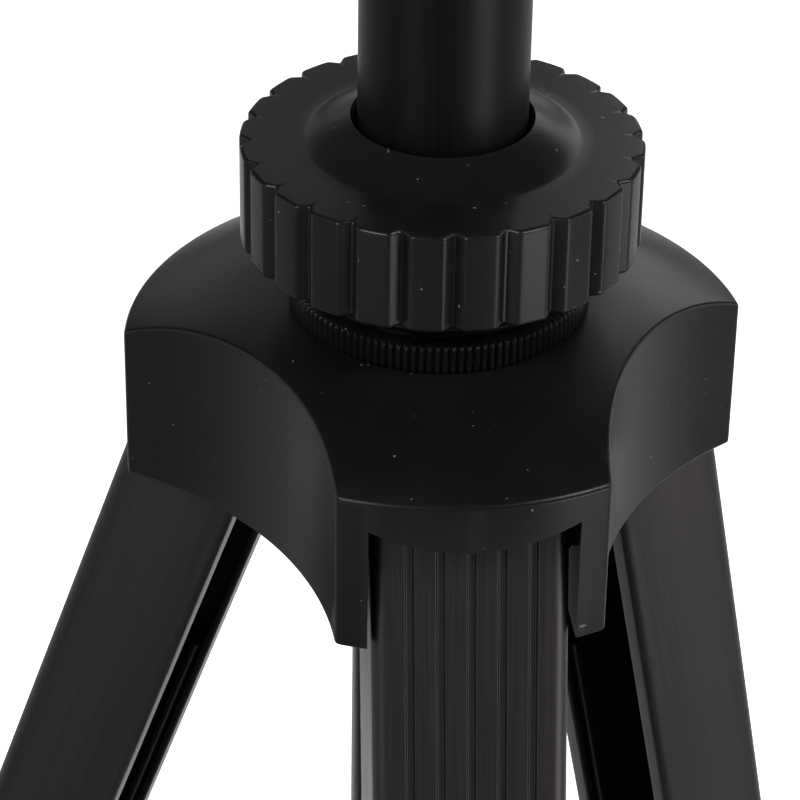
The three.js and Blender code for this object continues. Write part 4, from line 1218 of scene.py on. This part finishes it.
def make_platform():
    low, high = heights("head_platform")
    corners = [
        (0, low + 3, 0),
        (STEM_RADIUS + GAP, low + 3, 0.1),
        (STEM_RADIUS + GAP, low, 0.3),
        (PLATFORM_RADIUS - 4.5, low, 1),
        (PLATFORM_RADIUS, low + 2.6, 1),
        (PLATFORM_RADIUS, high, 0.6),
        (SCREW_RADIUS + GAP, high, 0.3),
        (SCREW_RADIUS + GAP, low + 4, 0.1),
        (0, low + 4, 0),
    ]
    plate = lathe(profile(corners), 96)
    notch = moved(bar(0.7, low - 1, high + 1, segments=12), at(PLATFORM_RADIUS + 0.3, 0, 0))
    notches = IN_A_CIRCLE.applied(notch, FINISHES["head_metal"], Copies=48.0)
    finished(moved(cut(plate, notches), ON_AXIS), "head_platform")


def make_pad():
    """The platform's rubber pad, with round grip ridges."""
    low, high = heights("platform_pad")
    inner, outer = SCREW_RADIUS + 2 * GAP, PLATFORM_RADIUS - 1
    corners = [(inner, low, 0.1), (outer, low, 0.2), (outer, high - 0.3, 0.3)]
    radius = outer - 0.8
    while radius > inner + 2:
        corners += [(radius, high - 0.3, 0.1), (radius - 0.3, high, 0.15)]
        corners += [(radius - 0.9, high, 0.15), (radius - 1.2, high - 0.3, 0.1)]
        radius -= 2
    corners += [(inner, high - 0.3, 0.1)]
    finished(moved(lathe(rounded(corners, 2), 96), ON_AXIS), "platform_pad")


# ---- Webcam -----------------------------------------------------------------------------------------

CLIP = place_of("clip_open")
TILT = place_of("camera_tilt")
CAM_MIDDLE = sum(heights("cam_front_glass")) / 2


def clip_plate(low, high, knuckles):
    """A clip plate with knuckles at its rear edge."""
    hinge_y = CLIP.y - HUB.y
    half = (CLIP_WIDTH / 2, CLIP_DEPTH / 2)
    plate = prism(rectangle(-half[0], half[0], -half[1], half[1], CLIP_CORNER, 8), low, high, 0.8)
    joins = []
    for x0, x1 in knuckles:
        joins.append(block((x0, half[1] - 6, low + 1), (x1, hinge_y, high - 1), 0.3))
        joins.append(on_hinge(bar(CLIP_KNUCKLE, x0, x1, 0.4)))
    return fused(plate, *joins)


def knuckle_ends():
    third = CLIP_WIDTH / 6
    reach = 2.4 * third
    return [(-reach, -third - GAP), (third + GAP, reach)], [(-third, third)]


def on_hinge(piece):
    """A piece along Z, turned and moved onto the clip's hinge axis."""
    return moved(piece, at(0, CLIP.y - HUB.y, CLIP.z), SIDEWAYS)


def make_clip():
    outer, middle = knuckle_ends()
    low, high = heights("clip_flap")[0], CLIP.z - GAP / 2
    flap = clip_plate(low, high, outer)
    swept = on_hinge(bar(CLIP_KNUCKLE + GAP, middle[0][0] - GAP, middle[0][1] + GAP))
    socket_top = heights("camera_screw")[1] + GAP
    socket = bar(SCREW_RADIUS + GAP, low - 1, socket_top)
    groove = moved(block((-16, -0.5, low - 1), (16, 0.5, low + 0.5)), at(0, -8, 0))
    grooves = row_of(groove, FINISHES["camera_plastic"], 4, (0, 2.4, 0))
    flap = cut(flap, swept, socket, grooves, on_hinge(pin_hole(CLIP_PIN_RADIUS)))
    finished(moved(flap, ON_AXIS), "clip_flap")

    low = CLIP.z + GAP / 2
    top = low + 5.5
    leaf = clip_plate(low, top, middle)
    tilt = at(0, 0, TILT.z)
    ears = []
    for side in (-1, 1):
        x0, x1 = sorted((side * (TONGUE_HALF + GAP), side * (TONGUE_HALF + GAP + TILT_EAR)))
        corners = [(-6.5, top - 1, 0.2), (6.5, top - 1, 0.2), (6.2, top + 0.2, 0.5)]
        corners += [(TILT_BARREL, TILT.z - 3.5, 2), (TILT_BARREL, TILT.z + TILT_BARREL, 4.5)]
        corners += [(-TILT_BARREL, TILT.z + TILT_BARREL, 4.5), (-TILT_BARREL, TILT.z - 3.5, 2)]
        corners += [(-6.2, top + 0.2, 0.5)]
        ears.append(moved(prism(rounded(corners, 6), x0, x1, 0.4), OUTWARD))
    leaf = fused(leaf, *ears)
    clear = [on_hinge(bar(CLIP_KNUCKLE + GAP, x0 - GAP, x1 + GAP)) for x0, x1 in outer]
    tilt_hole = moved(pin_hole(TILT_PIN_RADIUS), tilt, SIDEWAYS)
    leaf = cut(leaf, *clear, tilt_hole, on_hinge(pin_hole(CLIP_PIN_RADIUS)))
    finished(moved(leaf, ON_AXIS), "clip_leaf")


def cam_outline(depth=0.0):
    """The webcam seen from the front, on its own middle."""
    x, y = CAM_WIDTH / 2 - depth, CAM_HEIGHT / 2 - depth
    return rectangle(-x, x, -y, y, CAM_CORNER - depth, 10)


IN_CAM = ON_AXIS @ at(0, 0, CAM_MIDDLE) @ FACING  # a height is a depth, front up


def make_front_shell():
    front, split = CAM_HALF_DEPTH, GAP / 2
    levels = [(split, 0.3), (split + 0.3, 0)] + eased(split + 3, front, CAM_ROUND, 6)[7:]
    shell = stack(cam_outline(), levels)
    recess = front - GLASS_THICKNESS - GAP
    hollow = prism(cam_outline(CAM_WALL + 0.4), split - 1, recess - CAM_WALL, 0.6)
    glass = prism(cam_outline(GLASS_MARGIN), recess, front + 1)
    lens = bar(LENS_RADIUS + GAP, -2, front + 1, segments=64)
    shell = cut(shell, hollow, glass, lens)
    finished(moved(shell, IN_CAM), "cam_front_shell")


def make_rear_shell():
    back, split = -CAM_HALF_DEPTH, -GAP / 2
    levels = eased(back, split - 3, CAM_ROUND, 6)[:7] + [(split - 0.3, 0), (split, 0.3)]
    shell = stack(cam_outline(), levels)
    hollow = prism(cam_outline(CAM_WALL + 0.4), back + CAM_WALL, split + 1, 0.6)
    tongue_low, tongue_high = TILT.z - CAM_MIDDLE, 1 - CAM_HEIGHT / 2
    tongue = block((-TONGUE_HALF, tongue_low, -TILT_BARREL), (TONGUE_HALF, tongue_high, split), 0.4)
    barrel = at(0, tongue_low, 0)
    knuckle = moved(bar(TILT_BARREL, -TONGUE_HALF, TONGUE_HALF, 0.4), barrel, SIDEWAYS)
    hole = moved(pin_hole(TILT_PIN_RADIUS), barrel, SIDEWAYS)
    inlet = bar(INLET_RADIUS, back - 1, 0)
    slot = block((-0.6, -4.5, back - 1), (0.6, 4.5, back + 4), 0, 0.6)
    slots = row_of(slot, FINISHES["camera_plastic"], CAM_VENTS, (CAM_VENT_PITCH, 0, 0))
    slots = moved(slots, at(-20, 0, 0))
    shell = cut(fused(cut(shell, hollow), tongue, knuckle), hole, slots)
    shell = cut(shell, moved(inlet, at(CAM_WIDTH / 5, 0, 0)))
    posts = []
    for side in (-1, 1):
        post = bar(2.5, back + CAM_WALL - 1, 1.6)
        posts.append(moved(post, at(side * (CAM_WIDTH / 2 - 15), 0, 0)))
    finished(moved(gathered(shell, *posts), IN_CAM), "cam_rear_shell")


def make_optics():
    front = CAM_HALF_DEPTH
    pane = prism(cam_outline(GLASS_MARGIN + GAP), front - GLASS_THICKNESS, front, 0.25)
    holes = [bar(LENS_RADIUS + GAP, 5, front + 1, segments=64)]
    for side in (-1, 1):
        hole = bar(0.6, front - 0.8, front + 1, segments=16)
        holes.append(moved(hole, at(side * 26, 0, 0)))
    light = bar(1.0, front - 0.5, front + 1, segments=24)
    holes.append(moved(light, at(17, 0, 0)))
    finished(moved(cut(pane, *holes), IN_CAM), "cam_front_glass")

    nose = front + 2
    rear = 3.8
    corners = [
        (0, rear, 0),
        (LENS_RADIUS - 0.2, rear, 0.6),
        (LENS_RADIUS, rear + 1, 0.3),
        (LENS_RADIUS, nose - 1.3, 0.1),
        (LENS_RADIUS - 0.25, nose - 1.1, 0.1),
        (LENS_RADIUS, nose - 0.9, 0.1),
        (LENS_RADIUS, nose, 0.5),
        (LENS_RADIUS - 1.4, nose, 0.3),
        (7, nose - 0.7, 0.1),
        (6.6, nose - 0.7, 0.1),
        (6.2, nose - 1.3, 0.1),
        (5.8, nose - 1.3, 0.1),
        (5.4, nose - 1.8, 0.1),
        (LENS_GLASS_RADIUS + GAP, nose - 2, 0.1),
        (LENS_GLASS_RADIUS + GAP, nose - 3.4, 0.1),
        (0, nose - 3.4, 0),
    ]
    finished(moved(lathe(profile(corners), 96), IN_CAM), "lens_barrel")
    dome_points = []
    for k in range(9):
        share = 1 - k / 8
        height = nose - 1.1 - 1.1 * share**2
        dome_points.append((LENS_GLASS_RADIUS * share, height))
    lens = [(0, nose - 3.1), (LENS_GLASS_RADIUS, nose - 3.1), *dome_points]
    finished(moved(lathe(lens, 64), IN_CAM), "lens_glass", crease=50)


# ---- Carried CAD nodes ------------------------------------------------------------------------------


def dress_carried_nodes():
    """Gives the CAD nodes that stay their finishes."""
    carried = ["collet", "camera_screw", "clip_pin", "tilt_pin", "circuit_board"]
    carried += [f"{kind}_{leg}" for leg in LEGS for kind in ("pivot_pin", "leg_top_block")]
    slots = {part["node"]: part["material_slot"] for part in frame["record"]["subparts"]}
    pins = turned_steel("blackened_pin", 0.02)
    for node in carried:
        mesh = frame["nodes"][node].data
        mesh.materials.clear()
        mesh.materials.append(pins if node.startswith("pivot_pin") else FINISHES[slots[node]])


# ---- Studio -----------------------------------------------------------------------------------------


def add_floor():
    half, below = 8, -0.0005  # metres
    builder = bmesh.new()
    places = ((-half, -half, below), (half, -half, below), (half, half, below), (-half, half, below))
    builder.faces.new([builder.verts.new(place) for place in places])
    floor = mesh_object("studio_floor", builder)
    floor.data.materials.append(lit_floor("studio_white"))


def add_light(name, place, size, power, colour, spread=180):
    """A square soft light that faces the hub, its beam's spread in degrees."""
    light = bpy.data.lights.new(name, "AREA")
    light.size = size
    light.spread = math.radians(spread)
    light.energy = power
    light.color = colour
    lamp = bpy.data.objects.new(name, light)
    lamp.location = place
    aim = HUB * MM - Vector(place)
    lamp.rotation_euler = aim.to_track_quat("-Z", "Y").to_euler()
    bpy.context.scene.collection.objects.link(lamp)


def add_studio():
    add_floor()
    add_light("soft_left", (-1.4, 0.3, 0.8), 1.0, 4.5, (0.97, 0.95, 1.0))
    add_light("soft_right", (1.4, 0.0, 0.8), 1.0, 8.5, (1.0, 0.91, 0.9))
    add_light("back_left", (-0.2, 1.7, 1.05), 0.8, 1.5, (0.98, 0.97, 1.0))
    add_light("back_right", (0.75, 1.5, 1.1), 0.8, 5.0, (1.0, 0.95, 0.97))
    add_light("high_left", (-0.65, -0.6, 1.2), 0.35, 0.7, (0.98, 0.98, 1.0), spread=40)
    add_light("high_right", (0.7, -0.55, 1.2), 0.35, 0.6, (1.0, 0.96, 0.96), spread=40)
    add_light("low_left", (-0.6, -0.6, 0.25), 0.4, 0.12, (0.98, 0.97, 1.0), spread=60)
    add_light("low_right", (0.6, -0.55, 0.2), 0.4, 0.5, (1.0, 0.95, 0.95), spread=60)
    world = bpy.data.worlds.new("studio")
    world.use_nodes = True
    graph = Graph(world.node_tree)
    seen = graph.node("ShaderNodeLightPath", output="Is Camera Ray")
    background = graph.node("ShaderNodeBackground", {}, {"Strength": 0.1 + seen * 0.85})
    graph.node("ShaderNodeOutputWorld", {}, {"Surface": background})
    bpy.context.scene.world = world
    bpy.context.scene.view_settings.view_transform = "Standard"


def add_camera():
    """Looks down on the hub from the front, a little from its left."""
    yaw, pitch, roll = math.radians(-6.957), math.radians(32.36), math.radians(0.972)
    from_rim = Vector((-5.54, -464.56, 248.78))
    turn = Matrix.Rotation(yaw, 4, "Z")
    camera = bpy.data.cameras.new("camera")
    camera.lens = 162
    camera.sensor_width = 36
    holder = bpy.data.objects.new("camera", camera)
    tilt = Matrix.Rotation(math.pi / 2 - pitch, 4, "X") @ Matrix.Rotation(roll, 4, "Z")
    holder.matrix_world = Matrix.Translation((HUB + turn.to_3x3() @ from_rim) * MM) @ turn @ tilt
    bpy.context.scene.collection.objects.link(holder)
    bpy.context.scene.camera = holder


# ---- Assembly ---------------------------------------------------------------------------------------

add_camera()
add_studio()
make_crown()
make_lock_ring()
make_collar()
make_column()
for leg in LEGS:
    make_leg(leg)
make_head_base()
make_housing()
make_knob("ball_lock_knob", "ball_knob_turn", 9.5, 8)
make_knob("pan_lock_knob", "pan_knob_turn", 6, 6)
make_ball_stem()
make_platform()
make_pad()
make_clip()
make_front_shell()
make_rear_shell()
make_optics()
dress_carried_nodes()
